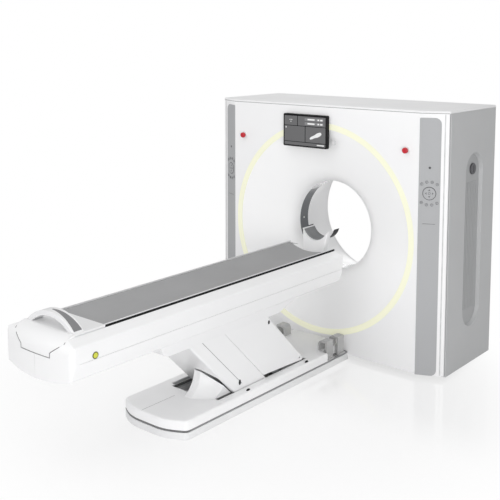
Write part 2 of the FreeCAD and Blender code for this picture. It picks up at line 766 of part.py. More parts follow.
def bowed_plan(inset, head, z0, z1):
    """Plan of the table's body: straight sides and a bowed foot end."""
    half = half_width_of_end - inset
    nose, corner = table_foot + inset, shell_foot_corner + inset
    wire = Part.Wire([Part.makeLine(Vector(half, corner, z0), Vector(half, head, z0)),
                      Part.makeLine(Vector(half, head, z0), Vector(-half, head, z0)),
                      Part.makeLine(Vector(-half, head, z0), Vector(-half, corner, z0)),
                      Part.Arc(Vector(-half, corner, z0), Vector(0, nose, z0),
                               Vector(half, corner, z0)).toShape()])
    solid = prism(wire, (0, 0, z1 - z0))
    corners = [edge for edge in solid.Edges
               if edge.Length > 100 and abs(edge.CenterOfMass.y - corner) < 1 and
               abs(edge.BoundBox.ZLength - (z1 - z0)) < 0.1]
    return solid.makeFillet(45, corners)


def hood_cutter(inset):
    """Everything over the crowned top of the foot end, swept round along the end's bow."""
    bow = ((half_width_of_end ** 2) / (shell_foot_corner - table_foot) +
           shell_foot_corner - table_foot) / 2
    axis_y = table_foot + bow
    start, low = table_foot + crown_radius, table_top - crown_radius
    radius = crown_radius - inset + 0.4
    diagonal = radius * math.sqrt(0.5)
    spring, crest = Vector(0, start - radius, low), Vector(0, start, low + radius)
    over, beyond = Vector(0, start, 900), Vector(0, table_foot - 60, 900)
    below = Vector(0, table_foot - 60, low)
    wire = Part.Wire([Part.Arc(crest, Vector(0, start - diagonal, low + diagonal), spring).toShape(),
                      Part.makeLine(spring, below), Part.makeLine(below, beyond),
                      Part.makeLine(beyond, over), Part.makeLine(over, crest)])
    face = Part.Face(wire)
    face.rotate(Vector(0, axis_y, 0), Vector(0, 0, 1), -12)
    return face.revolve(Vector(0, axis_y, 0), Vector(0, 0, 1), 24)


def body_form(inset):
    """The table body's outer form, or the same form shrunk by a wall."""
    long_form = shell_section(inset, table_foot - 10, shell_head - inset)
    raised = front_prism([(-221 + inset, 700, 0), (221 - inset, 700, 0),
                          (221 - inset, table_top - inset, 0), (-221 + inset, table_top - inset, 0)],
                         table_foot - 10, handle_front + (0 if inset == 0 else -inset))
    form = joined(long_form, raised).cut(hood_cutter(inset))
    end = shell_head - inset
    upswept = side_prism([(table_foot - 20, belly_z - 8 + inset, 0), (end, belly_z - 8 + inset, 130),
                          (end, 900, 0), (table_foot - 20, 900, 0)], -320, 320)
    return form.common(bowed_plan(inset, end, 500, 900)).common(upswept)


def hood_prism(gap):
    """The trapezoid that the hood covers, seen from the foot end."""
    return front_prism([(-128 + gap, 750 + gap, 4), (128 - gap, 750 + gap, 4),
                        (128 - gap, 777, 0), (217 - gap, 838, 0), (217 - gap, 900, 0),
                        (-217 + gap, 900, 0), (-217 + gap, 838, 0), (-128 + gap, 777, 0)],
                       table_foot - 20, handle_front)


def arm_housing():
    """Box under the body round the arm's upper end: a rounded foot end and two side skirts."""
    end = side_prism([(housing_foot, 632, 0), (housing_foot, housing_z, 70),
                      (-800, housing_z, 0), (-800, 632, 0)], -222, 222)
    inside = side_prism([(housing_foot + 6, 700, 0), (housing_foot + 6, housing_z + 6, 64),
                         (-790, housing_z + 6, 0), (-790, 700, 0)], -216, 216)
    end = end.cut(inside).cut(body_form(0))
    skirts = [side_prism([(-802, 632, 0), (-802, housing_z, 0), (housing_head, housing_z, 180),
                          (housing_head + 240, 632, 0)], x, x + 4) for x in (-222, 218)]
    return [end, *skirts]


button_x, button_y, button_z = 298, -1522, 757
button_radius = 15


def table_shell():
    shell = body_form(0).cut(body_form(shell_wall))
    flanges = [box(x, x + 4, handle_front, shell_head - 6, deck_top, 852) for x in (-223, 219)]
    shell = joined(shell, *flanges, *arm_housing())
    channel = box(-219, 219, handle_front, shell_head + 10, deck_top + 6, 900)
    arm_slot = box(-218, 218, -800, 560, 540, 650)
    hood = hood_prism(0)
    button = rod(button_radius + 5, (270, button_y, button_z), (320, button_y, button_z))
    centre_seam = box(-0.8, 0.8, table_foot - 5, table_foot + 3, 607, 751)
    side_seams = [box(x, x + 8, shell_foot_corner + 46, shell_head + 5, 733, 735)
                  for x in (-302, 294)]
    return shell.cut(Part.makeCompound([channel, arm_slot, hood, button, centre_seam, *side_seams]))


def table_end_hood():
    """Crowned end panel, with a tongue that seats behind the shell's wall."""
    lining = body_form(shell_wall).cut(body_form(shell_wall + 3))
    panel = body_form(0).cut(body_form(shell_wall)).common(hood_prism(1))
    return joined(panel, lining.common(box(-90, 90, table_foot, -1650, 736, 768)))


def table_frame():
    """Deck, its two side beams, and the ears and pins of both upper pivots."""
    deck = box(-280, 280, handle_front + 8, shell_head - 6, deck_top - 4, deck_top)
    beams = both_sides(box(226, 280, -1560, 830, 704, deck_top - 4))
    ears = []
    for y in (front_pivot_y - link_rise, rear_pivot_y - link_rise):
        ears.append(side_prism([(y - 40, deck_top - 4, 0), (y + 40, deck_top - 4, 0),
                                (y + 36, pivot_high_z - 38, 34), (y - 36, pivot_high_z - 38, 34)],
                               168, 182))
    pins = [rod(pin_radius, (-205, front_pivot_y - link_rise, pivot_high_z),
                (205, front_pivot_y - link_rise, pivot_high_z)),
            rod(pin_radius, (-194, *rod_pin), (194, *rod_pin))]
    plates = [ear for pair in map(both_sides, ears) for ear in pair]
    return joined(deck, *beams, *plates, *pins)


def cradle_rails():
    return [box(x, x + 10, cradle_foot - 10, shell_head - 10, deck_top, deck_top + 20)
            for x in (-216, 206)]


def edge_seals():
    """Black wiping strips on both edges of the cradle, over the gap beside the shell."""
    return [box(x, x + 2.3, cradle_foot, cradle_head, 852, 868)
            for x in (-cradle_half - 2.3, cradle_half)]


def button_collar():
    return tube(button_radius + 5, button_radius + 0.6, (button_x - 8, button_y, button_z),
                (button_x + 3, button_y, button_z))


def release_button():
    head = rod(button_radius, (button_x - 7, button_y, button_z),
               (button_x + 6, button_y, button_z))
    return head.makeFillet(3, [edge for edge in head.Edges
                               if edge.BoundBox.XMin > button_x + 5.9])


def dished_section(edge_z, middle_z, half, y):
    """Arc across the cradle, from one edge through its low middle to the other."""
    return Part.Arc(Vector(-half, y, edge_z), Vector(0, y, middle_z), Vector(half, y, edge_z))


def dished_sheet(half, top_z, thickness, y0, y1):
    upper = dished_section(top_z, top_z - cradle_dip, half, y0).toShape()
    lower = dished_section(top_z - thickness, top_z - cradle_dip - thickness, half, y0).toShape()
    sides = [Part.makeLine(Vector(x, y0, top_z), Vector(x, y0, top_z - thickness))
             for x in (-half, half)]
    return prism(Part.Wire(Part.__sortEdges__([upper, lower, *sides])), (0, y1 - y0, 0))


def cradle():
    """Dished tabletop with its rims, foot block and the glides that run on the rails."""
    sheet = dished_sheet(cradle_half, table_top - mat_thickness, 24, cradle_foot, cradle_head)
    rims = [box(x, x + 3.5, cradle_foot, cradle_head, table_top - 12, table_top + 1)
            for x in (-cradle_half, cradle_half - 3.5)]
    block = front_prism([(-208.5, 852, 0), (-190, 812, 30), (190, 812, 30), (208.5, 852, 0),
                         (208.5, 858, 0), (216, 858, 0), (216, table_top, 3),
                         (-216, table_top, 3), (-216, 858, 0), (-208.5, 858, 0)],
                        handle_front + 1, cradle_foot)
    glides = []
    for y in (-1300, -960, -620):
        blank = joined(box(190, 218.5, y - 45, y + 45, 787, 806),
                       box(190, 204, y - 45, y + 45, 800, 846))
        groove = box(205.5, 216.5, y - 50, y + 50, 780, deck_top + 20.5)
        glides += both_sides(blank.cut(groove))
    return joined(sheet, *rims, block, *glides)


def mattress():
    half = cradle_half - 3.8
    pad = dished_sheet(half, table_top, mat_thickness + 1, cradle_foot + 1, shell_head + 4)
    return pad.cut(dished_sheet(cradle_half, table_top - mat_thickness, 24,
                                cradle_foot, cradle_head))


def handle():
    """Arched grab handle across the cradle's foot."""
    y0, y1 = handle_front + 2, handle_front + 76
    outer = Part.Arc(Vector(-208, y0, table_top), Vector(0, y0, 958), Vector(208, y0, table_top))
    inner = Part.Arc(Vector(160, y0, table_top), Vector(0, y0, 930), Vector(-160, y0, table_top))
    feet = [Part.makeLine(Vector(sign * 208, y0, table_top), Vector(sign * 160, y0, table_top))
            for sign in (-1, 1)]
    wire = Part.Wire(Part.__sortEdges__([outer.toShape(), inner.toShape(), *feet]))
    arch = prism(wire, (0, y1 - y0, 0))
    return arch.makeFillet(4, [edge for edge in arch.Edges if edge.Length > 350])


holder = dict(front=925, length=150, half=112, rim_z=977, depth=77, wall=9)


def trough(half, rim_z, depth, thickness, y0, y1):
    """U-shaped channel along Y, open at the top."""
    def arc(offset):
        return Part.Arc(Vector(-half - offset, y0, rim_z), Vector(0, y0, rim_z - depth - offset),
                        Vector(half + offset, y0, rim_z)).toShape()

    rims = [Part.makeLine(Vector(sign * half, y0, rim_z),
                          Vector(sign * (half + thickness), y0, rim_z)) for sign in (-1, 1)]
    return prism(Part.Wire(Part.__sortEdges__([arc(0), arc(thickness), *rims])), (0, y1 - y0, 0))


def holder_stem():
    """Tapered stem that stands behind the cradle's end and leans back to the trough."""
    front, foot_y = holder["front"], cradle_head
    low = rounded_wire([((-96, foot_y, 790), 12), ((96, foot_y, 790), 12),
                        ((96, foot_y + 60, 790), 24), ((-96, foot_y + 60, 790), 24)])
    high = rounded_wire([((-119, front - 3, 970), 12), ((119, front - 3, 970), 12),
                         ((119, front + 68, 970), 30), ((-119, front + 68, 970), 30)])
    stem = Part.makeLoft([low, high], True, True)
    return joined(stem, box(-70, 70, foot_y, foot_y + 24, 790, 812))


def head_holder():
    """Head rest: an open trough on its stem."""
    front, half, rim_z = holder["front"], holder["half"], holder["rim_z"]
    rest = trough(half, rim_z, holder["depth"], holder["wall"], front, front + holder["length"])
    bowl = prism(Part.Wire(Part.__sortEdges__([
        Part.Arc(Vector(-half, front - 9, rim_z), Vector(0, front - 9, rim_z - holder["depth"]),
                 Vector(half, front - 9, rim_z)).toShape(),
        Part.makeLine(Vector(-half, front - 9, rim_z), Vector(half, front - 9, rim_z))])),
        (0, 90, 0))
    return joined(rest, holder_stem().cut(bowl))


def head_pad():
    thickness = 5
    pad = trough(holder["half"] - thickness, holder["rim_z"], holder["depth"] - thickness,
                 thickness, holder["front"] + 4, holder["front"] + holder["length"] - 4)
    return pad.cut(box(-150, 150, 800, 1200, holder["rim_z"] - 6, 1000))


# ---- parts ----
os.makedirs("parts", exist_ok=True)

pieces = {
    "front_cover": front_cover(), "light_ring": light_ring(),
    "display_housing": display_housing(), "display_screen": display_pane(1, 4),
    "top_cover": top_cover(), "rear_cover": rear_cover(),
    "scan_window": scan_window(), "rear_tunnel": rear_tunnel(),
    "bore_funnel": bore_funnel(), "stop_cap_left": stop_cap(-stop_x),
    "stop_cap_right": stop_cap(stop_x),
    "stator_frame": stator_frame(), "floor_frame": floor_frame(),
    "levelling_feet": levelling_feet(), "bearing_outer_race": bearing_outer_race(),
    "bearing_inner_race": bearing_inner_race(), "rotor_drum": rotor_drum(),
    "slip_ring": slip_ring(), "slip_ring_brushes": slip_ring_brushes(),
    "xray_tube": xray_tube(), "detector_arc": detector_arc(),
    "generator_tank": generator_tank(), "counterweight": counterweight(),
    "motor_pulley": motor_pulley(), "drive_motor": drive_motor(), "drive_belt": drive_belt(),
    "base_plate": base_plate(), "base_groove_strip": base_groove_strip(),
    "base_cover": base_cover(), "base_fairing": base_fairing(),
    "pivot_stand": pivot_stand(), "anchor_brackets": anchor_brackets(),
    "front_arm_links": front_arm_links(), "front_arm_cover": front_arm_cover(),
    "rear_arm_links": rear_arm_links(), "rear_arm_cover": rear_arm_cover(),
    "actuator_tube": actuator_tube(), "actuator_rod": actuator_rod(),
    "table_shell": table_shell(), "table_end_hood": table_end_hood(),
    "table_frame": table_frame(), "cradle_rails": cradle_rails(), "edge_seals": edge_seals(),
    "button_collar": button_collar(), "release_button": release_button(),
    "cradle": cradle(), "mattress": mattress(), "handle": handle(),
    "head_holder": head_holder(), "head_pad": head_pad(),
}
for name, piece in (("side_cover", side_cover()), ("side_grille", side_grille()),
                    ("side_lock", side_lock()), ("control_strip", control_strip()),
                    ("dial", dial())):
    pieces[name + "_right"], pieces[name + "_left"] = both_sides(piece)

for name, piece in pieces.items():
    save(name, *(piece if isinstance(piece, list) else [piece]))
    solids = piece if isinstance(piece, list) else [piece]
    print(name, "solids", sum(len(s.Solids) for s in solids),
          "valid", all(s.isValid() for s in solids))
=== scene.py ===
import math

import bpy
import bmesh
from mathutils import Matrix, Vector
from mathutils.bvhtree import BVHTree


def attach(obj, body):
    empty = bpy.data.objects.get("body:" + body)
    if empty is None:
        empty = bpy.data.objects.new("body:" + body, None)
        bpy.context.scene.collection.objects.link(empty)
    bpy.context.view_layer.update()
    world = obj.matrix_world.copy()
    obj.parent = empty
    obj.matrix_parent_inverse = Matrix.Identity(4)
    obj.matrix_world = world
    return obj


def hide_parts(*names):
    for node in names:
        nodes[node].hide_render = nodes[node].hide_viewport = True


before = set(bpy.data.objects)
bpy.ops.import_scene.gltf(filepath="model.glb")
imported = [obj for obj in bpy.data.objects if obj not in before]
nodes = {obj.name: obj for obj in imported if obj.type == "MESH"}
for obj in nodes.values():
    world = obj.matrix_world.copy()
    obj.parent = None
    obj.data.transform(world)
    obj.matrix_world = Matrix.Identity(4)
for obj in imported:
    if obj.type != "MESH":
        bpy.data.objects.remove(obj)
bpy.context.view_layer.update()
print("frame loaded:", len(nodes), "nodes")


def placed(name, data):
    thing = bpy.data.objects.new(name, data)
    bpy.context.scene.collection.objects.link(thing)
    return thing


def aimed(name, data, place, direction):
    thing = placed(name, data)
    thing.location = place
    thing.rotation_mode = "QUATERNION"
    thing.rotation_quaternion = Vector(direction).to_track_quat("-Z", "Y")
    return thing


def wire(tree, *pairs):
    for source, target in pairs:
        tree.links.new(source, target)


# camera of the photograph, then plain studio light
cameraPlace = {"place": (3.8562, -4.5214, 2.4781), "azimuth": 39.916, "elevation": 6.227,
               "focalPixels": 870.0, "imageSide": 500, "shiftY": -0.24,
               "sensorWidth": 36.0, "clip": (0.1, 60.0)}


def makeCamera(spec):
    data = bpy.data.cameras.new("photoCamera")
    data.sensor_width = spec["sensorWidth"]
    data.lens = spec["focalPixels"] / spec["imageSide"] * data.sensor_width
    data.shift_y = spec["shiftY"]
    data.clip_start, data.clip_end = spec["clip"]
    turn, tilt = math.radians(spec["azimuth"]), math.radians(spec["elevation"])
    ahead = Vector((-math.sin(turn) * math.cos(tilt), math.cos(turn) * math.cos(tilt), -math.sin(tilt)))
    bpy.context.scene.camera = aimed("photoCamera", data, spec["place"], ahead)


makeCamera(cameraPlace)


studio = {"worldStrength": 0.62, "aim": (0.0, 0.2, 0.8),
          "lamps": {"rightLamp": ((5.4, -4.2, 1.3), 3.6, 172.0),
                    "frontLamp": ((-2.4, -6.6, 3.2), 3.4, 52.0),
                    "topLamp": ((0.3, -2.0, 4.5), 3.4, 42.0),
                    "rearLamp": ((-3.0, 5.6, 2.4), 3.4, 80.0)}}


def addLamp(name, place, size, power, aim):
    data = bpy.data.lights.new(name, "AREA")
    data.shape, data.size, data.energy = "SQUARE", size, power
    aimed(name, data, place, Vector(aim) - Vector(place))


def makeWorld(strength):
    world = bpy.data.worlds.new("studioWorld")
    bpy.context.scene.world = world
    world.use_nodes = True
    tree = world.node_tree
    tree.nodes.clear()
    output, mix, rays, either, light, seen = (tree.nodes.new("ShaderNode" + kind) for kind in (
        "OutputWorld", "MixShader", "LightPath", "Math", "Background", "Background"))
    either.operation = "MAXIMUM"
    for background, power in ((light, strength), (seen, 1.0)):
        background.inputs["Color"].default_value = (1.0, 1.0, 1.0, 1.0)
        background.inputs["Strength"].default_value = power
    wire(tree, (rays.outputs["Is Camera Ray"], either.inputs[0]),
         (rays.outputs["Is Transmission Ray"], either.inputs[1]),
         (either.outputs[0], mix.inputs["Fac"]), (light.outputs[0], mix.inputs[1]),
         (seen.outputs[0], mix.inputs[2]), (mix.outputs[0], output.inputs["Surface"]))


makeWorld(studio["worldStrength"])
for lampName, (lampPlace, lampSize, lampPower) in studio["lamps"].items():
    addLamp(lampName, lampPlace, lampSize, lampPower, studio["aim"])
bpy.context.scene.view_settings.view_transform = "Standard"
print("camera and light ready")


# finishes
class Finish:
    def __init__(self, name):
        self.material = bpy.data.materials.new(name)
        self.material.use_nodes = True
        self.tree = self.material.node_tree
        self.shader = self.tree.nodes["Principled BSDF"]
        self.place = self.tree.nodes.new("ShaderNodeTexCoord").outputs["Object"]

    def node(self, kind, **inputs):
        made = self.tree.nodes.new(kind)
        for key, value in inputs.items():
            made.inputs[key].default_value = value
        return made

    def link(self, source, target):
        self.tree.links.new(source, target)

    def stretched(self, scale):
        mapping = self.node("ShaderNodeMapping")
        mapping.inputs["Scale"].default_value = scale
        self.link(self.place, mapping.inputs["Vector"])
        return mapping.outputs["Vector"]

    def noise(self, scale, detail=3.0, place=None, roughness=0.5):
        made = self.node("ShaderNodeTexNoise", Scale=scale, Detail=detail, Roughness=roughness)
        self.link(place or self.place, made.inputs["Vector"])
        return made.outputs["Fac"]

    def tint(self, factor, dark, light):
        ramp = self.node("ShaderNodeValToRGB")
        ramp.color_ramp.elements[0].position, ramp.color_ramp.elements[1].position = 0.3, 0.7
        ramp.color_ramp.elements[0].color = (*dark, 1.0)
        ramp.color_ramp.elements[1].color = (*light, 1.0)
        self.link(factor, ramp.inputs["Fac"])
        self.link(ramp.outputs["Color"], self.shader.inputs["Base Color"])

    def roughness(self, factor, low, high):
        spread = self.node("ShaderNodeMapRange", **{"To Min": low, "To Max": high})
        self.link(factor, spread.inputs["Value"])
        self.link(spread.outputs["Result"], self.shader.inputs["Roughness"])

    def eased(self, value, start, end, low, high):
        # a value taken from one range into another, with soft ends
        spread = self.node("ShaderNodeMapRange", **{"From Min": start, "From Max": end,
                                                    "To Min": low, "To Max": high})
        spread.interpolation_type = "SMOOTHSTEP"
        self.link(value, spread.inputs["Value"])
        return spread.outputs["Result"]

    def bump(self, height, strength, distance):
        bump = self.node("ShaderNodeBump", Strength=strength, Distance=distance)
        self.link(height, bump.inputs["Height"])
        self.link(bump.outputs["Normal"], self.shader.inputs["Normal"])

    def fixed(self, **values):
        for key, value in values.items():
            self.shader.inputs[key.replace("_", " ")].default_value = value
        return self


def shade(colour, factor):
    return tuple(channel * factor for channel in colour)


def mouldedCover(name, colour, low=0.3, high=0.4, coat=0.12, grain=0.04):
    # satin lacquer over a moulding: faint cloudiness, fine orange peel
    made = Finish(name)
    made.tint(made.noise(1.7, 4.0), shade(colour, 0.985), colour)
    made.roughness(made.noise(9.0, 3.0), low, high)
    made.bump(made.noise(420.0, 2.0), grain, 0.0004)
    return made.fixed(Coat_Weight=coat, Coat_Roughness=0.2).material


def powderCoat(name, colour, low=0.42, high=0.56, grain=0.12, metal=0.0):
    # stoved powder: tight texture, a little unevenness
    made = Finish(name)
    made.tint(made.noise(3.0, 5.0), shade(colour, 0.965), colour)
    made.roughness(made.noise(26.0, 3.0), low, high)
    made.bump(made.noise(760.0, 3.0, roughness=0.7), grain, 0.0005)
    return made.fixed(Metallic=metal).material


def machinedMetal(name, colour, stretch, low=0.28, high=0.42, metal=1.0):
    # fine lines left by the tool, along one direction
    made = Finish(name)
    lines = made.noise(40.0, 4.0, made.stretched(stretch), 0.6)
    made.tint(lines, shade(colour, 0.9), colour)
    made.roughness(lines, low, high)
    made.bump(lines, 0.06, 0.0003)
    return made.fixed(Metallic=metal).material


def rubberSkin(name, colour, low=0.6, high=0.8, scale=900.0, gleam=0.3):
    made = Finish(name)
    made.tint(made.noise(14.0, 3.0), shade(colour, 0.8), colour)
    made.roughness(made.noise(40.0, 2.0), low, high)
    made.bump(made.noise(scale, 2.0), 0.2, 0.0004)
    return made.fixed(Specular_IOR_Level=gleam).material


def vinylSkin(name, colour, cell=260.0):
    # leather-like grain in a coated cloth
    made = Finish(name)
    grain = made.node("ShaderNodeTexVoronoi", Scale=cell)
    grain.feature = "DISTANCE_TO_EDGE"
    made.link(made.place, grain.inputs["Vector"])
    made.tint(made.noise(5.0, 4.0), shade(colour, 0.955), colour)
    made.roughness(made.noise(30.0, 3.0), 0.58, 0.7)
    made.bump(grain.outputs["Distance"], 0.22, 0.0006)
    return made.fixed(Specular_IOR_Level=0.3).material


def castMetal(name, colour):
    made = Finish(name)
    made.tint(made.noise(30.0, 6.0), shade(colour, 0.86), colour)
    made.roughness(made.noise(60.0, 4.0), 0.6, 0.78)
    made.bump(made.noise(230.0, 5.0, roughness=0.75), 0.35, 0.001)
    return made.material


def glowDiffuser(name, colour, glow, strength):
    # opal strip lit from behind: a little uneven between the lamps
    made = Finish(name)
    made.tint(made.noise(6.0, 2.0), shade(colour, 0.97), colour)
    made.roughness(made.noise(50.0, 2.0), 0.45, 0.55)
    return made.fixed(Emission_Color=(*glow, 1.0), Emission_Strength=strength).material


def darkGlass(name, colour):
    made = Finish(name)
    made.tint(made.noise(3.0, 2.0), shade(colour, 0.8), colour)
    made.roughness(made.noise(18.0, 4.0), 0.10, 0.18)
    return made.fixed(Specular_IOR_Level=0.12).material


def litPrint(name, colour, strength=0.0):
    # ink or lit pixels on a panel
    made = Finish(name)
    made.tint(made.noise(300.0, 2.0), shade(colour, 0.93), colour)
    made.roughness(made.noise(120.0, 2.0), 0.4, 0.5)
    return made.fixed(Emission_Color=(*colour, 1.0), Emission_Strength=strength).material


# each finish: how it is made, its colour, and what its maker takes
finishTable = {
    "coverWhite": (mouldedCover, (0.87, 0.87, 0.875)),
    # a darker, rougher copy of the cover white for the lid: painted shade on the gantry's top
    "lidWhite": (powderCoat, (0.84, 0.84, 0.845), 0.70, 0.80, 0.0),
    # a lighter copy of the cover white for the dish: painted light against the shade inside the funnel
    "dishWhite": (mouldedCover, (0.93, 0.93, 0.932), 0.38, 0.48, 0.05),
    "tableWhite": (mouldedCover, (0.86, 0.86, 0.865), 0.32, 0.42),
    "baseWhite": (powderCoat, (0.82, 0.82, 0.825), 0.36, 0.48, 0.08),
    # a lighter copy of the base white for the base cover: painted light against the table's shadow on it
    "basePale": (powderCoat, (0.92, 0.92, 0.925), 0.36, 0.48, 0.08),
    "sideGrey": (powderCoat, (0.50, 0.505, 0.51), 0.34, 0.46, 0.08),
    "stripGrey": (mouldedCover, (0.40, 0.405, 0.415), 0.36, 0.46, 0.1, 0.06),
    "recessGrey": (powderCoat, (0.40, 0.405, 0.41), 0.35, 0.5, 0.1),
    "lockDark": (machinedMetal, (0.16, 0.16, 0.17), (1, 8, 8), 0.3, 0.45, 0.7),
    "grooveGrey": (powderCoat, (0.24, 0.245, 0.25), 0.3, 0.42, 0.05),
    "bracketMetal": (machinedMetal, (0.52, 0.52, 0.52), (6, 60, 6), 0.34, 0.46, 0.35),
    "innerGrey": (powderCoat, (0.30, 0.31, 0.32)),
    "castGrey": (castMetal, (0.16, 0.17, 0.18)),
    "bareSteel": (machinedMetal, (0.42, 0.42, 0.43), (60, 6, 6)),
    "bareAluminium": (machinedMetal, (0.52, 0.53, 0.54), (30, 6, 30)),
    "ringLight": (glowDiffuser, (0.60, 0.60, 0.46), (1.0, 1.0, 0.78), 0.33),
    "screenFrame": (rubberSkin, (0.010, 0.010, 0.011), 0.4, 0.5, 600.0, 0.12),
    "screenGlass": (darkGlass, (0.008, 0.008, 0.010)),
    "windowDark": (mouldedCover, (0.12, 0.125, 0.135), 0.2, 0.3, 0.3, 0.02),
    "stopRed": (mouldedCover, (0.50, 0.006, 0.018), 0.28, 0.38, 0.05, 0.02),
    "matVinyl": (vinylSkin, (0.36, 0.36, 0.365)),
    "padFoam": (rubberSkin, (0.24, 0.245, 0.25), 0.7, 0.85, 500.0),
    "sealBlack": (rubberSkin, (0.012, 0.012, 0.013)),
    "keyGreen": (mouldedCover, (0.62, 0.64, 0.06), 0.25, 0.35, 0.3, 0.02),
    "collarOlive": (rubberSkin, (0.10, 0.10, 0.03), 0.4, 0.5),
    "beltBlack": (rubberSkin, (0.015, 0.015, 0.017), 0.7, 0.9),
    "topWhite": (mouldedCover, (0.80, 0.80, 0.805), 0.26, 0.36, 0.2),
    # dark seams, and the band over the base's groove with its painted shade
    "seamDark": (rubberSkin, (0.20, 0.20, 0.205), 0.6, 0.75, 500.0),
    "seamPale": (rubberSkin, (0.42, 0.42, 0.425), 0.6, 0.75, 500.0),
    "markDark": (litPrint, (0.10, 0.10, 0.105)),
    # grey for the speaker mesh; on the bands beside the strips it is painted shade
    "grooveShade": (rubberSkin, (0.66, 0.66, 0.665), 0.5, 0.6, 500.0),
    "screenpanel": (litPrint, (0.115, 0.115, 0.118), 0.12),
    "screenrow": (litPrint, (0.20, 0.20, 0.205), 0.15),
    "screenlight": (litPrint, (0.62, 0.62, 0.62), 0.35),
    "inlayGrey": (mouldedCover, (0.20, 0.20, 0.205), 0.35, 0.45, 0.1, 0.05),
    "carbonBlack": (rubberSkin, (0.02, 0.02, 0.022), 0.35, 0.5, 700.0, 0.3),
    # pale lens colour with a faint painted glow
    "lensPale": (litPrint, (0.72, 0.72, 0.70), 0.1),
    "threadGrey": (rubberSkin, (0.30, 0.30, 0.305), 0.6, 0.75, 800.0),
}
finishes = {name: maker(name, *values) for name, (maker, *values) in finishTable.items()}
nodeFinish = {
    "dishWhite": ["bore_funnel"],
    "lidWhite": ["top_cover"],
    "coverWhite": ["front_cover", "rear_cover", "rear_tunnel",
                   "base_fairing", "front_arm_cover", "rear_arm_cover"],
    "tableWhite": ["table_shell", "table_end_hood"],
    "baseWhite": ["base_plate"],
    "basePale": ["base_cover"],
    "sideGrey": ["side_cover_left", "side_cover_right"],
    "stripGrey": ["control_strip_left", "control_strip_right", "dial_left", "dial_right"],
    "recessGrey": ["side_grille_left", "side_grille_right"],
    "lockDark": ["side_lock_left", "side_lock_right"],
    "grooveGrey": ["base_groove_strip"],
    "bracketMetal": ["anchor_brackets"],
    "innerGrey": ["floor_frame", "drive_motor", "slip_ring_brushes", "pivot_stand", "rear_arm_links",
                  "front_arm_links", "table_frame", "actuator_tube"],
    "castGrey": ["stator_frame", "counterweight"],
    "bareSteel": ["levelling_feet", "bearing_outer_race", "bearing_inner_race", "cradle_rails",
                  "actuator_rod"],
    "bareAluminium": ["rotor_drum", "xray_tube", "detector_arc", "generator_tank", "slip_ring",
                      "motor_pulley"],
    "ringLight": ["light_ring"],
    "screenFrame": ["display_housing"],
    "screenGlass": ["display_screen"],
    "windowDark": ["scan_window"],
    "stopRed": ["stop_cap_left", "stop_cap_right"],
    "matVinyl": ["mattress"],
    "padFoam": ["head_pad"],
    "sealBlack": ["edge_seals"],
    "keyGreen": ["release_button"],
    "collarOlive": ["button_collar"],
    "beltBlack": ["drive_belt"],
    "topWhite": ["cradle", "handle", "head_holder"],
}


def dress(mesh, finish):
    mesh.materials.clear()
    mesh.materials.append(finishes[finish])


for finishName, names in nodeFinish.items():
    for name in names:
        dress(nodes[name].data, finishName)
print("finishes on", sum(len(names) for names in nodeFinish.values()), "nodes")


# small rounded edges, in millimetres, on what is seen close up
easedEdges = {"front_cover": 2.5, "top_cover": 3.0, "side_cover_left": 2.5, "side_cover_right": 2.5,
              "base_cover": 1.5, "base_plate": 1.5, "table_shell": 2.5, "table_end_hood": 1.0,
              "front_arm_cover": 1.2, "rear_arm_cover": 1.2, "base_fairing": 2.5, "anchor_brackets": 1.0,
              "cradle": 1.0, "handle": 1.5, "head_holder": 2.0, "rear_cover": 1.5,
              "display_housing": 1.5,
              "control_strip_left": 0.6, "control_strip_right": 0.6, "release_button": 0.6,
              "dial_left": 0.8, "dial_right": 0.8, "side_lock_left": 0.8, "side_lock_right": 0.8,
              "bore_funnel": 1.0, "rear_tunnel": 1.0, "scan_window": 0.6, "light_ring": 0.6,
              "edge_seals": 0.8, "button_collar": 0.5, "table_frame": 1.0, "floor_frame": 1.5}


def geometryTree(name, inputs):
    # a new modifier tree, its input sockets by label, and its first and last node
    tree = bpy.data.node_groups.new(name, "GeometryNodeTree")
    tree.is_modifier = True
    sockets = {label: tree.interface.new_socket(label, in_out="INPUT", socket_type="NodeSocket" + kind)
               for label, kind in [("Geometry", "Geometry"), *inputs]}
    tree.interface.new_socket("Geometry", in_out="OUTPUT", socket_type="NodeSocketGeometry")
    return tree, sockets, tree.nodes.new("NodeGroupInput"), tree.nodes.new("NodeGroupOutput")


def smoothTree(degrees):
    # faces shaded smooth, edges sharper than the angle kept hard
    tree, sockets, start, end = geometryTree("smoothByAngle", [("Sharp angle", "Float")])
    sockets["Sharp angle"].default_value = math.radians(degrees)
    angle = tree.nodes.new("GeometryNodeInputMeshEdgeAngle")
    below = tree.nodes.new("FunctionNodeCompare")
    below.operation = "LESS_THAN"
    faces, edges = (tree.nodes.new("GeometryNodeSetShadeSmooth") for _ in range(2))
    faces.domain, edges.domain = "FACE", "EDGE"
    wire(tree, (start.outputs[0], faces.inputs["Geometry"]), (faces.outputs[0], edges.inputs["Geometry"]),
         (angle.outputs["Unsigned Angle"], below.inputs[0]), (start.outputs[1], below.inputs[1]),
         (below.outputs[0], edges.inputs["Shade Smooth"]), (edges.outputs[0], end.inputs[0]))
    return tree


easing = {"weld": 0.00002, "segments": 2, "bevelAngle": 40.0, "hardAngle": 38.0}
smoothByAngle = smoothTree(easing["hardAngle"])


def easeNode(name, millimetres):
    node = nodes[name]
    weld = node.modifiers.new("weld", "WELD")
    weld.merge_threshold = easing["weld"]
    if millimetres:
        bevel = node.modifiers.new("eased", "BEVEL")
        bevel.width, bevel.segments = millimetres / 1000.0, easing["segments"]
        bevel.limit_method, bevel.angle_limit = "ANGLE", math.radians(easing["bevelAngle"])
    smooth = node.modifiers.new("smooth", "NODES")
    smooth.node_group = smoothByAngle
    weighted = node.modifiers.new("weighted", "WEIGHTED_NORMAL")
    weighted.keep_sharp = True


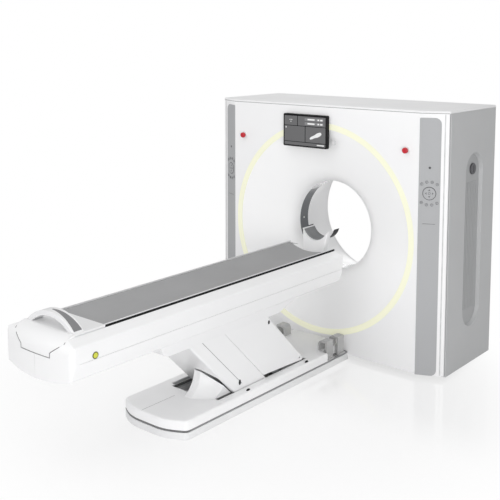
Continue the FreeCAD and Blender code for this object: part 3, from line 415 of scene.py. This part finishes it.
for name in nodes:
    easeNode(name, easedEdges.get(name, 0.0))
print("edges eased on", len(easedEdges), "nodes")


# pieces that the scene adds: each rides on a body
def addPiece(name, mesh, body, finish):
    dress(mesh, finish)
    piece = placed(name, mesh)
    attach(piece, body)
    return piece


def finishMesh(name, shape):
    bmesh.ops.recalc_face_normals(shape, faces=shape.faces)
    mesh = bpy.data.meshes.new(name)
    shape.to_mesh(mesh)
    shape.free()
    return mesh


def addShape(name, shape, body, finish):
    return addPiece(name, finishMesh(name, shape), body, finish)


def plainMesh(thing):
    # a thing with its modifiers worked out, as a plain mesh; the thing itself goes
    bpy.context.view_layer.update()
    mesh = bpy.data.meshes.new_from_object(thing.evaluated_get(bpy.context.evaluated_depsgraph_get()))
    bpy.data.objects.remove(thing)
    return mesh


def addBand(shape, rings, closed=False):
    # skin over rings of points, with its two ends capped unless it runs round
    made = [[shape.verts.new(point) for point in ring] for ring in rings]
    pairs = list(zip(made, made[1:] + made[:1])) if closed else list(zip(made, made[1:]))
    for here, there in pairs:
        for i in range(len(here)):
            j = (i + 1) % len(here)
            shape.faces.new((here[i], here[j], there[j], there[i]))
    if not closed:
        shape.faces.new(made[0])
        shape.faces.new(made[-1][::-1])


def addStrip(shape, path, normals, width, proud, sink=0.001):
    # raised strip with eased shoulders, lying along a path on a surface
    outline = [(-0.5, -sink), (-0.5, proud * 0.5), (-0.3, proud), (0.3, proud), (0.5, proud * 0.5),
               (0.5, -sink)]
    rings = []
    for i, point in enumerate(path):
        before, after = path[max(i - 1, 0)], path[min(i + 1, len(path) - 1)]
        side = (after - before).cross(normals[i]).normalized()
        rings.append([point + side * (a * width) + normals[i] * h for a, h in outline])
    addBand(shape, rings)


def arcRadius(half, rise):
    return (half ** 2 + rise ** 2) / (2 * rise)


def addPlate(shape, outline, place, low, high):
    # flat plate of any outline; place turns (across, up, out) into a point
    bottom = [shape.verts.new(place(a, b, low)) for a, b in outline]
    top = [shape.verts.new(place(a, b, high)) for a, b in outline]
    count = len(outline)
    for i in range(count):
        j = (i + 1) % count
        shape.faces.new((bottom[i], bottom[j], top[j], top[i]))
    shape.faces.new(top)
    shape.faces.new(bottom[::-1])


def addRing(shape, centre, inner, outer, place, low, high, sides=40):
    rings = []
    for i in range(sides):
        turn = 2 * math.pi * i / sides
        u, v = math.cos(turn), math.sin(turn)
        rings.append([place(centre[0] + r * u, centre[1] + r * v, h)
                      for r, h in ((inner, low), (outer, low), (outer, high), (inner, high))])
    addBand(shape, rings, closed=True)


def disc(centre, radius, sides=28, stretch=1.0):
    return [(centre[0] + radius * math.cos(2 * math.pi * i / sides),
             centre[1] + stretch * radius * math.sin(2 * math.pi * i / sides)) for i in range(sides)]


def roundedBox(x0, z0, x1, z1, radius, steps=5):
    corners = []
    for cx, cz, start in ((x1 - radius, z1 - radius, 0), (x0 + radius, z1 - radius, 90),
                          (x0 + radius, z0 + radius, 180), (x1 - radius, z0 + radius, 270)):
        for i in range(steps + 1):
            turn = math.radians(start + 90 * i / steps)
            corners.append((cx + radius * math.cos(turn), cz + radius * math.sin(turn)))
    return corners


def dense(corners, step):
    points = []
    for here, there in zip(corners, corners[1:]):
        count = max(1, round((Vector(there) - Vector(here)).length / step))
        points += [Vector(here).lerp(Vector(there), i / count) for i in range(count)]
    return points + [Vector(corners[-1])]


def surfaceOf(*names):
    points, faces = [], []
    for name in names:
        mesh, start = nodes[name].data, len(points)
        points += [vertex.co.copy() for vertex in mesh.vertices]
        faces += [[start + i for i in face.vertices] for face in mesh.polygons]
    return BVHTree.FromPolygons(points, faces)


def laidOn(surface, points, direction, standOff=0.4, reach=0.9):
    # the points moved along a direction until they meet a surface, and its normals there
    places, normals = [], []
    for point in points:
        place, normal, _, _ = surface.ray_cast(point - direction * standOff, direction, reach)
        if place is not None:
            places.append(place)
            normals.append(normal if normal.dot(direction) < 0 else -normal)
    return places, normals


# seams of the table's foot end and sides
tableSeams = {"width": 0.0042, "proud": 0.0007, "hoodProud": 0.0018, "hoodY": -1.7, "hoodStep": 0.012,
              "hood": [(-0.217, 0.846), (-0.217, 0.838), (-0.128, 0.777), (-0.128, 0.750),
                       (0.128, 0.750), (0.128, 0.777), (0.217, 0.838), (0.217, 0.846)],
              "middleX": 0.0005, "middleZ": (0.609, 0.749), "middleStep": 0.03,
              "sideX": 0.3, "sideHeight": 0.734, "sideStart": -1.62, "sideEnd": 0.78, "sideStep": 0.08,
              "sideShare": 0.6}


def makeTableSeams(spec):
    surface = surfaceOf("table_shell", "table_end_hood")
    hoodSeams, sideSeams = bmesh.new(), bmesh.new()
    hood = dense([(x, spec["hoodY"], z) for x, z in spec["hood"]], spec["hoodStep"])
    middle = dense([(spec["middleX"], spec["hoodY"], z) for z in spec["middleZ"]], spec["middleStep"])
    for line in (hood, middle):
        addStrip(hoodSeams, *laidOn(surface, line, Vector((0, 1, 0))), spec["width"], spec["hoodProud"])
    addShape("hood_seams", hoodSeams, "table", "seamDark")
    for side in (-1, 1):
        line = dense([(spec["sideX"] * side, y, spec["sideHeight"])
                      for y in (spec["sideStart"], spec["sideEnd"])], spec["sideStep"])
        places, normals = laidOn(surface, line, Vector((-side, 0, 0)))
        addStrip(sideSeams, places, normals, spec["width"] * spec["sideShare"], spec["proud"])
    addShape("table_seams", sideSeams, "table", "seamPale")


makeTableSeams(tableSeams)


# arm covers: the lower cover's seam and the dark plugs over their fixings
armDetail = {"seamAcross": -0.029, "seamLow": 0.250, "seamHigh": 0.846, "sideX": 0.2095,
             "seamWidth": 0.0042, "seamProud": 0.0006, "seamStep": 0.1,
             "plugSink": 0.001, "plugProud": 0.0012,
             "plugs": [(0.2095, -0.269, 0.170, 0.011, 1.7, "front_arm"),
                       (0.215, 0.034, 0.506, 0.010, 1.4, "rear_arm")]}
layoutShift = 0.05


def alongLinks(across, along):
    # a point in the links' own slanting directions, as y and z
    half = math.sqrt(0.5)
    return (across - along) * half - layoutShift, (across + along) * half


def makeArmDetail(spec):
    shape = bmesh.new()
    for side in (-1, 1):
        ends = [alongLinks(spec["seamAcross"], u) for u in (spec["seamLow"], spec["seamHigh"])]
        line = dense([(side * spec["sideX"], y, z) for y, z in ends], spec["seamStep"])
        addStrip(shape, line, [Vector((side, 0, 0))] * len(line), spec["seamWidth"], spec["seamProud"])
    addShape("arm_seams", shape, "front_arm", "seamPale")
    for number, (x, y, z, radius, stretch, body) in enumerate(spec["plugs"]):
        plugs = bmesh.new()
        for side in (-1, 1):
            addPlate(plugs, disc((y, z), radius, stretch=stretch),
                     lambda a, b, out, s=side: Vector((s * (x + out), a, b)),
                     -spec["plugSink"], spec["plugProud"])
        addShape("arm_plug_" + str(number + 1), plugs, body, "sealBlack")


makeArmDetail(armDetail)


# base: joint along its top, rubber buffers beside the arm, dark band over the groove round the plate's rim:
# the groove's own dark tone with painted shade
baseDetail = {"jointX": -0.055, "jointY": (-0.925, -0.62), "jointZ": 0.12, "jointStep": 0.01,
              "jointWidth": 0.0034, "proud": 0.0006,
              "bufferY": [-0.244, 0.413], "bufferX": 0.262, "bufferZ": 0.1205, "bufferHalfWidth": 0.008,
              "bufferLength": 0.017, "bufferHeight": 0.012, "bufferEdge": 0.0005, "bufferEnd": 0.4,
              "bufferRings": 8, "bufferArc": 20,
              "grooveZ": 0.0555, "grooveWidth": 0.011, "grooveStep": 0.05, "gantryY": 0.9}


def hullOutline(name):
    # convex outline of a node seen from above, anticlockwise
    spots = sorted({(round(v.co.x, 4), round(v.co.y, 4)) for v in nodes[name].data.vertices})
    sides = []
    for row in (spots, spots[::-1]):
        side = []
        for x, y in row:
            while len(side) > 1 and ((side[-1][0] - side[-2][0]) * (y - side[-2][1])
                                     - (side[-1][1] - side[-2][1]) * (x - side[-2][0])) <= 0:
                side.pop()
            side.append((x, y))
        sides += side[:-1]
    return sides


def makeBaseDetail(spec):
    surface = surfaceOf("base_cover")
    joint = bmesh.new()
    line = dense([(spec["jointX"], y, spec["jointZ"]) for y in spec["jointY"]], spec["jointStep"])
    addStrip(joint, *laidOn(surface, line, Vector((0, 0, -1))), spec["jointWidth"], spec["proud"])
    addShape("base_joint", joint, "stand", "seamPale")
    buffers = bmesh.new()
    for side in (-1, 1):
        for y in spec["bufferY"]:
            rings = []
            for i in range(spec["bufferRings"] + 1):
                turn = math.pi * i / spec["bufferRings"]
                reach = spec["bufferEnd"] + (1 - spec["bufferEnd"]) * math.sin(turn)
                wide = spec["bufferHalfWidth"] * reach
                middle = y - spec["bufferLength"] * math.cos(turn)
                tall = spec["bufferHeight"] * math.sin(turn) + spec["bufferEdge"]
                arc = [math.radians(angle) for angle in range(0, 181, spec["bufferArc"])]
                rings.append([Vector((side * (spec["bufferX"] + wide * math.cos(a)), middle,
                                      spec["bufferZ"] + tall * max(0.0, math.sin(a)))) for a in arc])
            addBand(buffers, rings)
    addShape("base_buffers", buffers, "stand", "sealBlack")
    # dark band over the groove: its dark tone widened with painted shade in the groove
    groove = bmesh.new()
    path = [Vector((x, y, spec["grooveZ"])) for x, y in hullOutline("base_plate") if y < spec["gantryY"]]
    start = max(range(len(path)), key=lambda i: (path[i] - path[i - 1]).length)
    path = dense(path[start:] + path[:start], spec["grooveStep"])
    normals = []
    for i in range(len(path)):
        along = path[min(i + 1, len(path) - 1)] - path[max(i - 1, 0)]
        normals.append(Vector((along.y, -along.x, 0)).normalized())
    addStrip(groove, path, normals, spec["grooveWidth"], spec["proud"])
    addShape("base_groove", groove, "stand", "seamDark")


makeBaseDetail(baseDetail)
print("table, arm and base details made")


# swept outer wings of the front cover: key clusters, marks and a flat grey band of painted shade beside each
# strip
wing = {"startX": 0.861, "startY": 0.925, "sweep": 24.0, "face": 0.001, "middle": 0.0755,
        "padZ": 1.362, "padRadius": 0.043, "keyRadius": [0.0835, 0.086], "keyAngles": [13, 39],
        "keySize": 0.0105, "keyHole": 0.78, "barReach": 0.45, "barHalf": 0.0014,
        "barCorner": 0.0006, "dotZ": 1.546, "dotRadius": 0.009,
        "lineZ": 1.142, "lineHalf": 0.045, "lineThick": 0.0012, "lineCorner": 0.001,
        "padFace": 0.0015,
        "arrow": [(0.0, 0.030), (0.009, 0.017), (0.0, 0.021), (-0.009, 0.017)],
        "arrowRing": (0.0065, 0.009), "padRing": (0.0012, 0.0052),
        "sink": -0.0004, "markProud": 0.0004, "keyProud": 0.0005,
        "grooveAt": 0.172, "grooveWidth": 0.009, "grooveZ": (0.034, 1.926), "grooveSink": -0.0006,
        "grooveCorner": 0.002}


def onWing(side, height=0.0):
    turn = math.radians(wing["sweep"])

    def place(across, up, out):
        reach = out + height
        x = wing["startX"] + across * math.cos(turn) + reach * math.sin(turn)
        y = wing["startY"] + across * math.sin(turn) - reach * math.cos(turn)
        return Vector((side * x, y, up))
    return place


def makeKeyCluster(spec, side, label):
    place, onPad = onWing(side, spec["face"]), onWing(side, spec["padFace"])
    marks, keys, arrows = bmesh.new(), bmesh.new(), bmesh.new()
    middle = (spec["middle"], spec["padZ"])
    sink, markProud, keyProud = spec["sink"], spec["markProud"], spec["keyProud"]
    size, thin, corner = spec["keySize"], spec["barHalf"], spec["barCorner"]
    arm = size * spec["barReach"]
    low, high = spec["padRing"]
    addRing(marks, middle, spec["padRadius"] + low, spec["padRadius"] + high, place, sink, markProud)
    number = 0
    for half in (0, 180):
        for angle, radius in zip(spec["keyAngles"], spec["keyRadius"]):
            for sign in (-1, 1):
                turn = math.radians(half + sign * angle)
                x, z = middle[0] + radius * math.sin(turn), middle[1] + radius * math.cos(turn)
                addRing(keys, (x, z), size * spec["keyHole"], size, place, sink, keyProud, 24)
                bar = roundedBox(x - arm, z - thin, x + arm, z + thin, corner, 2)
                post = roundedBox(x - thin, z - arm, x + thin, z + arm, corner, 2)
                addPlate(keys, bar if number % 2 else post, place, sink, keyProud)
                number += 1
    addPlate(marks, disc((middle[0], spec["dotZ"]), spec["dotRadius"]), place, sink, markProud)
    half, thick = spec["lineHalf"], spec["lineThick"]
    addPlate(marks, roundedBox(middle[0] - half, spec["lineZ"] - thick, middle[0] + half,
                               spec["lineZ"] + thick, spec["lineCorner"], 2), place, sink, markProud)
    for turn in (0, 90, 180, 270):
        c, t = math.cos(math.radians(turn)), math.sin(math.radians(turn))
        addPlate(arrows, [(middle[0] + a * c - b * t, middle[1] + a * t + b * c)
                          for a, b in spec["arrow"]], onPad, sink, keyProud)
    addRing(arrows, middle, *spec["arrowRing"], onPad, sink, keyProud, 24)
    for name, shape, body in (("cluster_marks_", marks, "stand"), ("cluster_keys_", keys, "stand"),
                              ("pad_arrows_", arrows, "push_pad_" + label)):
        addShape(name + label, shape, body, "markDark")


def makeWingShadeBand(spec, side, label):
    # a flat band flush with the cover, grey for painted shade beside the strip
    groove = bmesh.new()
    edge, (low, high) = spec["grooveAt"], spec["grooveZ"]
    addPlate(groove, roundedBox(edge, low, edge + spec["grooveWidth"], high, spec["grooveCorner"], 2),
             onWing(side), spec["grooveSink"], spec["keyProud"])
    addShape("wing_shade_band_" + label, groove, "stand", "grooveShade")


for side, label in ((-1, "left"), (1, "right")):
    makeKeyCluster(wing, side, label)
    makeWingShadeBand(wing, side, label)
print("key clusters made")


# display: dark panels with plain marks, laid on the glass; fields are shares of its width and height
display = {"face": 0.892, "x0": -0.3165, "x1": 0.0755, "z0": 1.6235, "z1": 1.8555, "sink": -0.0004,
           "proud": {"panel": 0.0003, "row": 0.0006, "light": 0.0009},
           "corner": {"panel": 0.003, "row": 0.003, "light": 0.002},
           "fields": {"panel": [(0.0, 0.665, 0.315, 0.985), (0.33, 0.665, 1.0, 0.985),
                                (0.0, 0.125, 0.505, 0.645), (0.52, 0.125, 1.0, 0.645),
                                (0.0, 0.0, 1.0, 0.105)],
                      "row": [(0.50, 0.845, 0.95, 0.935), (0.50, 0.705, 0.95, 0.795)],
                      "light": [(0.57, 0.865, 0.74, 0.915), (0.57, 0.725, 0.74, 0.775),
                                (0.81, 0.865, 0.85, 0.915), (0.81, 0.725, 0.85, 0.775),
                                (0.875, 0.865, 0.93, 0.915), (0.875, 0.725, 0.93, 0.775),
                                (0.80, 0.035, 0.97, 0.07), (0.03, 0.565, 0.05, 0.615)]},
           "symbol": (0.16, 0.83), "dotReach": 0.010, "dotRadius": 0.0042, "dotTurns": (90, 210, 330),
           "curveStart": (0.63, 0.25), "curveRun": (0.27, 0.20), "curveLean": 0.35,
           "curveWidth": [0.006, 0.009, 0.010, 0.0095, 0.0115, 0.014, 0.0145, 0.013, 0.008]}


def makeDisplay(spec):
    def place(across, up, out):
        return Vector((across, spec["face"] - out, up))

    def spot(a, b):
        return (spec["x0"] + a * (spec["x1"] - spec["x0"]), spec["z0"] + b * (spec["z1"] - spec["z0"]))

    layers = {name: [roundedBox(*spot(a0, b0), *spot(a1, b1), spec["corner"][name], 3)
                     for a0, b0, a1, b1 in fields] for name, fields in spec["fields"].items()}
    x, z = spot(*spec["symbol"])
    for turn in spec["dotTurns"]:
        c, t = math.cos(math.radians(turn)), math.sin(math.radians(turn))
        layers["light"].append(disc((x + spec["dotReach"] * c, z - spec["dotReach"] * t),
                                    spec["dotRadius"], 12))
    # a plain swelling curve stands for the picture on the screen
    (a, b), (run, rise), lean = spec["curveStart"], spec["curveRun"], spec["curveLean"]
    parts = len(spec["curveWidth"]) - 1
    curve = [(*spot(a + run * i / parts, b + rise * i / parts), w) for i, w in enumerate(spec["curveWidth"])]
    layers["light"].append([(x - lean * w, z + w) for x, z, w in curve[::-1]]
                           + [(x + lean * w, z - w) for x, z, w in curve])
    for name, outlines in layers.items():
        shape = bmesh.new()
        for outline in outlines:
            addPlate(shape, outline, place, spec["sink"], spec["proud"][name])
        addShape("display_" + name + "s", shape, "stand", "screen" + name)


makeDisplay(display)


# small speaker mesh beside the display, and the joint under the lid
frontDetail = {"speaker": (0.113, 1.646, 0.149, 1.682), "speakerCorner": 0.006, "faceY": 0.925,
               "sink": -0.0006, "speakerProud": 0.0005, "lidZ": 1.932, "lidWidth": 0.0045,
               "lidProud": 0.0006, "lidReach": 0.186, "lidStep": 0.05}


def makeFrontDetail(spec):
    def place(across, up, out):
        return Vector((across, spec["faceY"] - out, up))

    speaker = bmesh.new()
    addPlate(speaker, roundedBox(*spec["speaker"], spec["speakerCorner"], 4), place, spec["sink"],
             spec["speakerProud"])
    addShape("speaker_field", speaker, "stand", "grooveShade")
    joint = bmesh.new()
    turn = math.radians(wing["sweep"])
    reach = spec["lidReach"] / math.cos(turn)
    path = dense([onWing(side)(across, spec["lidZ"], 0.0) for side, across in (
        (-1, reach), (-1, 0.0), (1, 0.0), (1, reach))], spec["lidStep"])
    normals = [Vector((math.copysign(math.sin(turn), p.x), -math.cos(turn), 0))
               if abs(p.x) > wing["startX"] + 0.001 else Vector((0, -1, 0)) for p in path]
    addStrip(joint, path, normals, spec["lidWidth"], spec["lidProud"])
    addShape("lid_joint", joint, "stand", "seamPale")


makeFrontDetail(frontDetail)
print("display and front details made")


# dark inlay along the right half of the handle's arch
inlay = {"halfSpan": 0.208, "footZ": 0.872, "apexZ": 0.958, "front": -1.645, "depth": 0.074,
         "startX": -0.02, "endX": 0.199, "thin": 0.010, "wide": 0.056, "proud": 0.0008,
         "sink": 0.001, "along": 40, "setBack": 0.52, "flare": 0.8, "shoulder": 0.6, "flat": 0.9}


def makeInlay(spec):
    rise = spec["apexZ"] - spec["footZ"]
    radius = arcRadius(spec["halfSpan"], rise)
    centreZ = spec["apexZ"] - radius
    middleY = spec["front"] + spec["depth"] * spec["setBack"]
    profile = [(-1, -spec["sink"]), (-1, spec["proud"] * spec["shoulder"]), (-spec["flat"], spec["proud"]),
               (spec["flat"], spec["proud"]), (1, spec["proud"] * spec["shoulder"]), (1, -spec["sink"])]
    rings = []
    for i in range(spec["along"] + 1):
        t = i / spec["along"]
        x = spec["startX"] + (spec["endX"] - spec["startX"]) * t
        up = Vector((x / radius, 0, math.sqrt(1 - (x / radius) ** 2)))
        half = (spec["thin"] + (spec["wide"] - spec["thin"]) * t ** spec["flare"]) / 2
        base = Vector((0, middleY, centreZ)) + up * radius
        rings.append([base + Vector((0, a * half, 0)) + up * h for a, h in profile])
    shape = bmesh.new()
    addBand(shape, rings)
    addShape("handle_inlay", shape, "tabletop", "inlayGrey")


makeInlay(inlay)


# mattress and head pad: thin foam in a wipe-clean skin, crowned, with rolled sides
mat = {"half": 0.2032, "dip": 0.050, "halfCurve": 0.207, "edgeZ": 0.864, "thick": 0.0085,
       "foot": -1.428, "head": 0.817, "roll": 0.006, "across": 40, "along": 150, "gap": 0.0001,
       "stitchPitch": 0.007, "stitchInset": 0.012, "stitchEnd": 0.03, "stitchSink": 0.0004,
       "stitchShare": 0.62, "stitchSize": (0.0011, 0.0012)}
padForm = {"crown": 0.06, "endStart": 0.05, "endFloor": 0.02}


def padSection(reach, roll, thick, points):
    # places across a crowned pad, each with the pad's height above its bed there
    heights = []
    for i in range(points + 1):
        x = -reach + 2 * reach * i / points
        edge = min(1.0, (reach - abs(x)) / roll)
        crown = 1 - padForm["crown"] * (1 - edge)
        heights.append((x, thick * math.sqrt(max(0.0, 1 - (1 - edge) ** 2)) * crown))
    return heights


def endSqueeze(spec, y, start, end):
    # how far the pad keeps its height near its two ends
    ends = min(1.0, min(y - start, end - y) / spec["roll"] + padForm["endStart"])
    return math.sqrt(max(padForm["endFloor"], 1 - (1 - ends) ** 2))


def addPad(name, columns, finish):
    shape = bmesh.new()
    addBand(shape, columns)
    piece = addShape(name, shape, "tabletop", finish)
    piece.data.polygons.foreach_set("use_smooth", [True] * len(piece.data.polygons))
    return piece


def makeMattress(spec):
    radius = arcRadius(spec["halfCurve"], spec["dip"])

    def bed(x):
        return spec["edgeZ"] - spec["dip"] + radius - math.sqrt(radius ** 2 - x ** 2)

    columns = []
    section = padSection(spec["half"], spec["roll"], spec["thick"], spec["across"])
    for j in range(spec["along"] + 1):
        y = spec["foot"] + (spec["head"] - spec["foot"]) * j / spec["along"]
        squeeze = endSqueeze(spec, y, spec["foot"], spec["head"])
        columns.append([Vector((x, y, bed(x) + 3 * spec["gap"] + high * squeeze)) for x, high in section]
                       + [Vector((x, y, bed(x) + spec["gap"])) for x, _ in section[::-1][1:-1]])
    piece = addPad("padded_mattress", columns, "matVinyl")
    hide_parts("mattress")
    return bed


matBed = makeMattress(mat)


headPad = {"half": 0.112, "rimZ": 0.977, "depth": 0.077, "thick": 0.0062, "start": 0.881, "end": 1.019,
           "roll": 0.009, "across": 40, "along": 26, "rimGap": 0.006, "gap": 0.0002,
           "cutY": (0.80, 0.957), "cutRise": 0.03, "cutSteps": 48, "wall": 0.0096, "skin": 0.001,
           "skinY": (0.951, 1.021), "skinFrom": 24, "skinTurn": 50, "skinSteps": 20,
           "weld": 0.00001}


def troughCircle(spec):
    # radius and centre height of the trough's round floor
    radius = arcRadius(spec["half"], spec["depth"])
    return radius, spec["rimZ"] - spec["depth"] + radius


def makeHeadPad(spec):
    radius, centreZ = troughCircle(spec)
    limit = math.acos((centreZ - spec["rimZ"] + spec["rimGap"]) / radius)
    columns = []
    section = padSection(limit * radius, spec["roll"], spec["thick"], spec["across"])
    for j in range(spec["along"] + 1):
        y = spec["start"] + (spec["end"] - spec["start"]) * j / spec["along"]
        squeeze = endSqueeze(spec, y, spec["start"], spec["end"])
        spots = [(arc, radius - 2 * spec["gap"] - high * squeeze) for arc, high in section]
        spots += [(arc, radius - spec["gap"]) for arc, _ in section[::-1][1:-1]]
        columns.append([Vector((r * math.sin(arc / radius), y, centreZ - r * math.cos(arc / radius)))
                        for arc, r in spots])
    piece = addPad("padded_head_rest", columns, "padFoam")
    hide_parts("head_pad")


makeHeadPad(headPad)
print("pads made")


# head rest's shell: the solid's own form with the trough open through the stem's front
def makeRestShell(spec):
    radius, centreZ = troughCircle(spec)
    steps, top = spec["cutSteps"], spec["rimZ"] + spec["cutRise"]
    reach = math.asin(spec["half"] / radius)
    section = [(radius * math.sin(t), centreZ - radius * math.cos(t))
               for t in (-reach + 2 * reach * i / steps for i in range(steps + 1))]
    section += [(spec["half"], top), (-spec["half"], top)]
    cut = bmesh.new()
    addPlate(cut, section, lambda a, b, out: Vector((a, out, b)), *spec["cutY"])
    cutter = placed("troughSpace", finishMesh("troughSpace", cut))
    shape = bmesh.new()
    shape.from_mesh(nodes["head_holder"].data)
    bmesh.ops.remove_doubles(shape, verts=shape.verts, dist=spec["weld"])
    body = placed("restBlank", finishMesh("restBlank", shape))
    opened = body.modifiers.new("opened", "BOOLEAN")
    opened.operation, opened.solver, opened.object = "DIFFERENCE", "EXACT", cutter
    smooth = body.modifiers.new("smooth", "NODES")
    smooth.node_group = smoothByAngle
    mesh = plainMesh(body)
    bpy.data.objects.remove(cutter)
    piece = addPiece("head_rest_shell", mesh, "tabletop", "topWhite")
    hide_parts("head_holder")


def makeRestSkins(spec):
    # dark outer faces of the trough's two wings
    radius, centreZ = troughCircle(spec)
    outer, (start, end) = radius + spec["wall"], spec["skinY"]
    inner = outer - spec["skin"]
    skins = bmesh.new()
    for side in (-1, 1):
        rings = []
        for i in range(spec["skinSteps"] + 1):
            turn = math.radians(spec["skinFrom"] + spec["skinTurn"] * i / spec["skinSteps"])
            rings.append([Vector((side * r * math.sin(turn), y, centreZ - r * math.cos(turn)))
                          for r, y in ((inner, start), (outer, start), (outer, end), (inner, end))])
        addBand(skins, rings)
    addShape("head_rest_skins", skins, "tabletop", "carbonBlack")


makeRestShell(headPad)
makeRestSkins(headPad)


# window: pale lenses in its ports, with a faint painted glow
lenses = {"angles": [0, 90, 180], "y": 1.207, "axisZ": 0.978, "radius": 0.0075, "probeTurn": 0.09,
          "setIn": 0.0022, "halfThick": 0.0015}


def makeLenses(spec):
    window = surfaceOf("scan_window")
    centre = Vector((0, spec["y"], spec["axisZ"]))
    shape = bmesh.new()
    for angle in spec["angles"]:
        turn = math.radians(angle)
        out = Vector((math.cos(turn), 0, math.sin(turn)))
        across = Vector((-out.z, 0, out.x))
        # the window's inner face is met beside the port, not in it
        beside = turn + spec["probeTurn"]
        hit = window.ray_cast(centre, Vector((math.cos(beside), 0, math.sin(beside))), 1.0)[0]
        reach = (hit - centre).length + spec["setIn"]
        addPlate(shape, disc((0, 0), spec["radius"]), lambda a, b, h, o=out, c=across, r=reach:
                 centre + o * (r - h) + c * a + Vector((0, b, 0)), -spec["halfThick"], spec["halfThick"])
    addShape("window_lenses", shape, "stand", "lensPale")


makeLenses(lenses)


# repeated small parts, made by one tree: plain square bars in a row
def rowTree():
    tree, sockets, start, end = geometryTree("rowOfBars", [("Count", "Int"), ("Start", "Vector"),
                                                           ("Step", "Vector"), ("Size", "Vector"),
                                                           ("Turn", "Vector")])
    line, bar, place, real = (tree.nodes.new("GeometryNode" + kind) for kind in (
        "MeshLine", "MeshCube", "InstanceOnPoints", "RealizeInstances"))
    turn = tree.nodes.new("FunctionNodeEulerToRotation")
    wire(tree, (start.outputs["Count"], line.inputs["Count"]),
         (start.outputs["Start"], line.inputs["Start Location"]),
         (start.outputs["Step"], line.inputs["Offset"]), (start.outputs["Size"], bar.inputs["Size"]),
         (start.outputs["Turn"], turn.inputs[0]), (line.outputs["Mesh"], place.inputs["Points"]),
         (bar.outputs["Mesh"], place.inputs["Instance"]), (turn.outputs[0], place.inputs["Rotation"]),
         (place.outputs["Instances"], real.inputs["Geometry"]), (real.outputs["Geometry"], end.inputs[0]))
    return tree, {label: socket.identifier for label, socket in sockets.items()}


barTree, barSockets = rowTree()


def makeRow(rows):
    # every row of bars as plain geometry in one mesh
    whole = bmesh.new()
    for row in rows:
        holder = placed("rowHolder", bpy.data.meshes.new("rowHolder"))
        modifier = holder.modifiers.new("row", "NODES")
        modifier.node_group = barTree
        for label, value in row.items():
            modifier[barSockets[label]] = value
        whole.from_mesh(plainMesh(holder))
    return whole


def makeStitches(spec):
    # lockstitch along both long edges of the mattress
    pitch, start = spec["stitchPitch"], spec["foot"] + spec["stitchEnd"]
    length = spec["head"] - spec["foot"] - 2 * spec["stitchEnd"]
    wide, tall = spec["stitchSize"]
    rows = []
    for side in (-1, 1):
        x = side * (spec["half"] - spec["stitchInset"])
        rows.append({"Count": int(length / pitch),
                     "Start": (x, start, matBed(x) + spec["thick"] - spec["stitchSink"]),
                     "Step": (0.0, pitch, 0.0), "Size": (wide, pitch * spec["stitchShare"], tall),
                     "Turn": (0.0, 0.0, 0.0)})
    addShape("mattress_stitches", makeRow(rows), "tabletop", "threadGrey")


makeStitches(mat)


# dark wedge between the mattress and the end of the cradle, on the far side
endWedge = {"outline": [(-0.204, 0.818), (-0.13, 0.831), (-0.204, 0.831)], "probe": (-0.19, 0.827, 1.2),
            "sink": -0.0006, "proud": 0.0008}


def makeEndWedge(spec):
    top = surfaceOf("cradle").ray_cast(Vector(spec["probe"]), Vector((0, 0, -1)), 1.0)[0].z
    shape = bmesh.new()
    addPlate(shape, spec["outline"], lambda a, b, h: Vector((a, b, top + h)), spec["sink"], spec["proud"])
    addShape("end_wedge", shape, "tabletop", "carbonBlack")


makeEndWedge(endWedge)


# sloping blades behind the slots of the rear cover
vents = {"x": 0.860, "low": 1.560, "pitch": 0.030, "count": 10, "back": 1.739,
         "size": (0.118, 0.0012, 0.020), "slope": 38}


def makeVentBlades(spec):
    rows = [{"Count": spec["count"], "Start": (side * spec["x"], spec["back"], spec["low"]),
             "Step": (0.0, 0.0, spec["pitch"]), "Size": spec["size"],
             "Turn": (math.radians(spec["slope"]), 0.0, 0.0)}
            for side in (-1, 1)]
    addShape("vent_blades", makeRow(rows), "stand", "innerGrey")


makeVentBlades(vents)
print("head rest, lenses, stitches and vent blades made")


# floor: pale, with a faint mirror image and the object's soft shadow, white further out
floorSpec = {"side": 60.0, "level": -0.001, "colour": (0.93, 0.93, 0.935), "rough": 0.7,
             "mirror": 0.55, "gloss": 0.09, "near": 1.0, "far": 2.3, "liftNear": 0.66, "liftFar": 1.0,
             "mirrorFrom": -0.1, "mirrorTo": 0.5}


def makeFloor(spec):
    half = spec["side"] / 2
    mesh = bpy.data.meshes.new("studioFloor")
    mesh.from_pydata([(x, y, spec["level"]) for x, y in ((-half, -half), (half, -half), (half, half),
                                                         (-half, half))], [], [(0, 1, 2, 3)])
    floor = placed("studioFloor", mesh)
    made = Finish("paleFloor")
    made.fixed(Base_Color=(*spec["colour"], 1.0), Roughness=spec["rough"])
    gloss = made.node("ShaderNodeBsdfGlossy", Roughness=spec["gloss"])
    lift = made.node("ShaderNodeEmission", Color=(1.0, 1.0, 1.0, 1.0))
    split, reach, seen, share, withMirror, whole = (made.node("ShaderNode" + kind) for kind in (
        "SeparateXYZ", "VectorMath", "LightPath", "Math", "MixShader", "MixShader"))
    reach.operation, share.operation = "LENGTH", "MULTIPLY"
    wire(made.tree, (made.place, split.inputs[0]), (made.place, reach.inputs[0]))
    # the mirror image fades out in front of the gantry
    sheen = made.eased(split.outputs["Y"], spec["mirrorFrom"], spec["mirrorTo"], 0.0, spec["mirror"])
    fade = made.eased(reach.outputs["Value"], spec["near"], spec["far"], spec["liftNear"], spec["liftFar"])
    wire(made.tree, (sheen, withMirror.inputs["Fac"]), (made.shader.outputs[0], withMirror.inputs[1]),
         (gloss.outputs[0], withMirror.inputs[2]), (seen.outputs["Is Camera Ray"], share.inputs[0]),
         (fade, share.inputs[1]), (share.outputs[0], whole.inputs["Fac"]),
         (withMirror.outputs[0], whole.inputs[1]), (lift.outputs[0], whole.inputs[2]),
         (whole.outputs[0], made.tree.nodes["Material Output"].inputs["Surface"]))
    mesh.materials.append(made.material)


makeFloor(floorSpec)
print("floor ready")
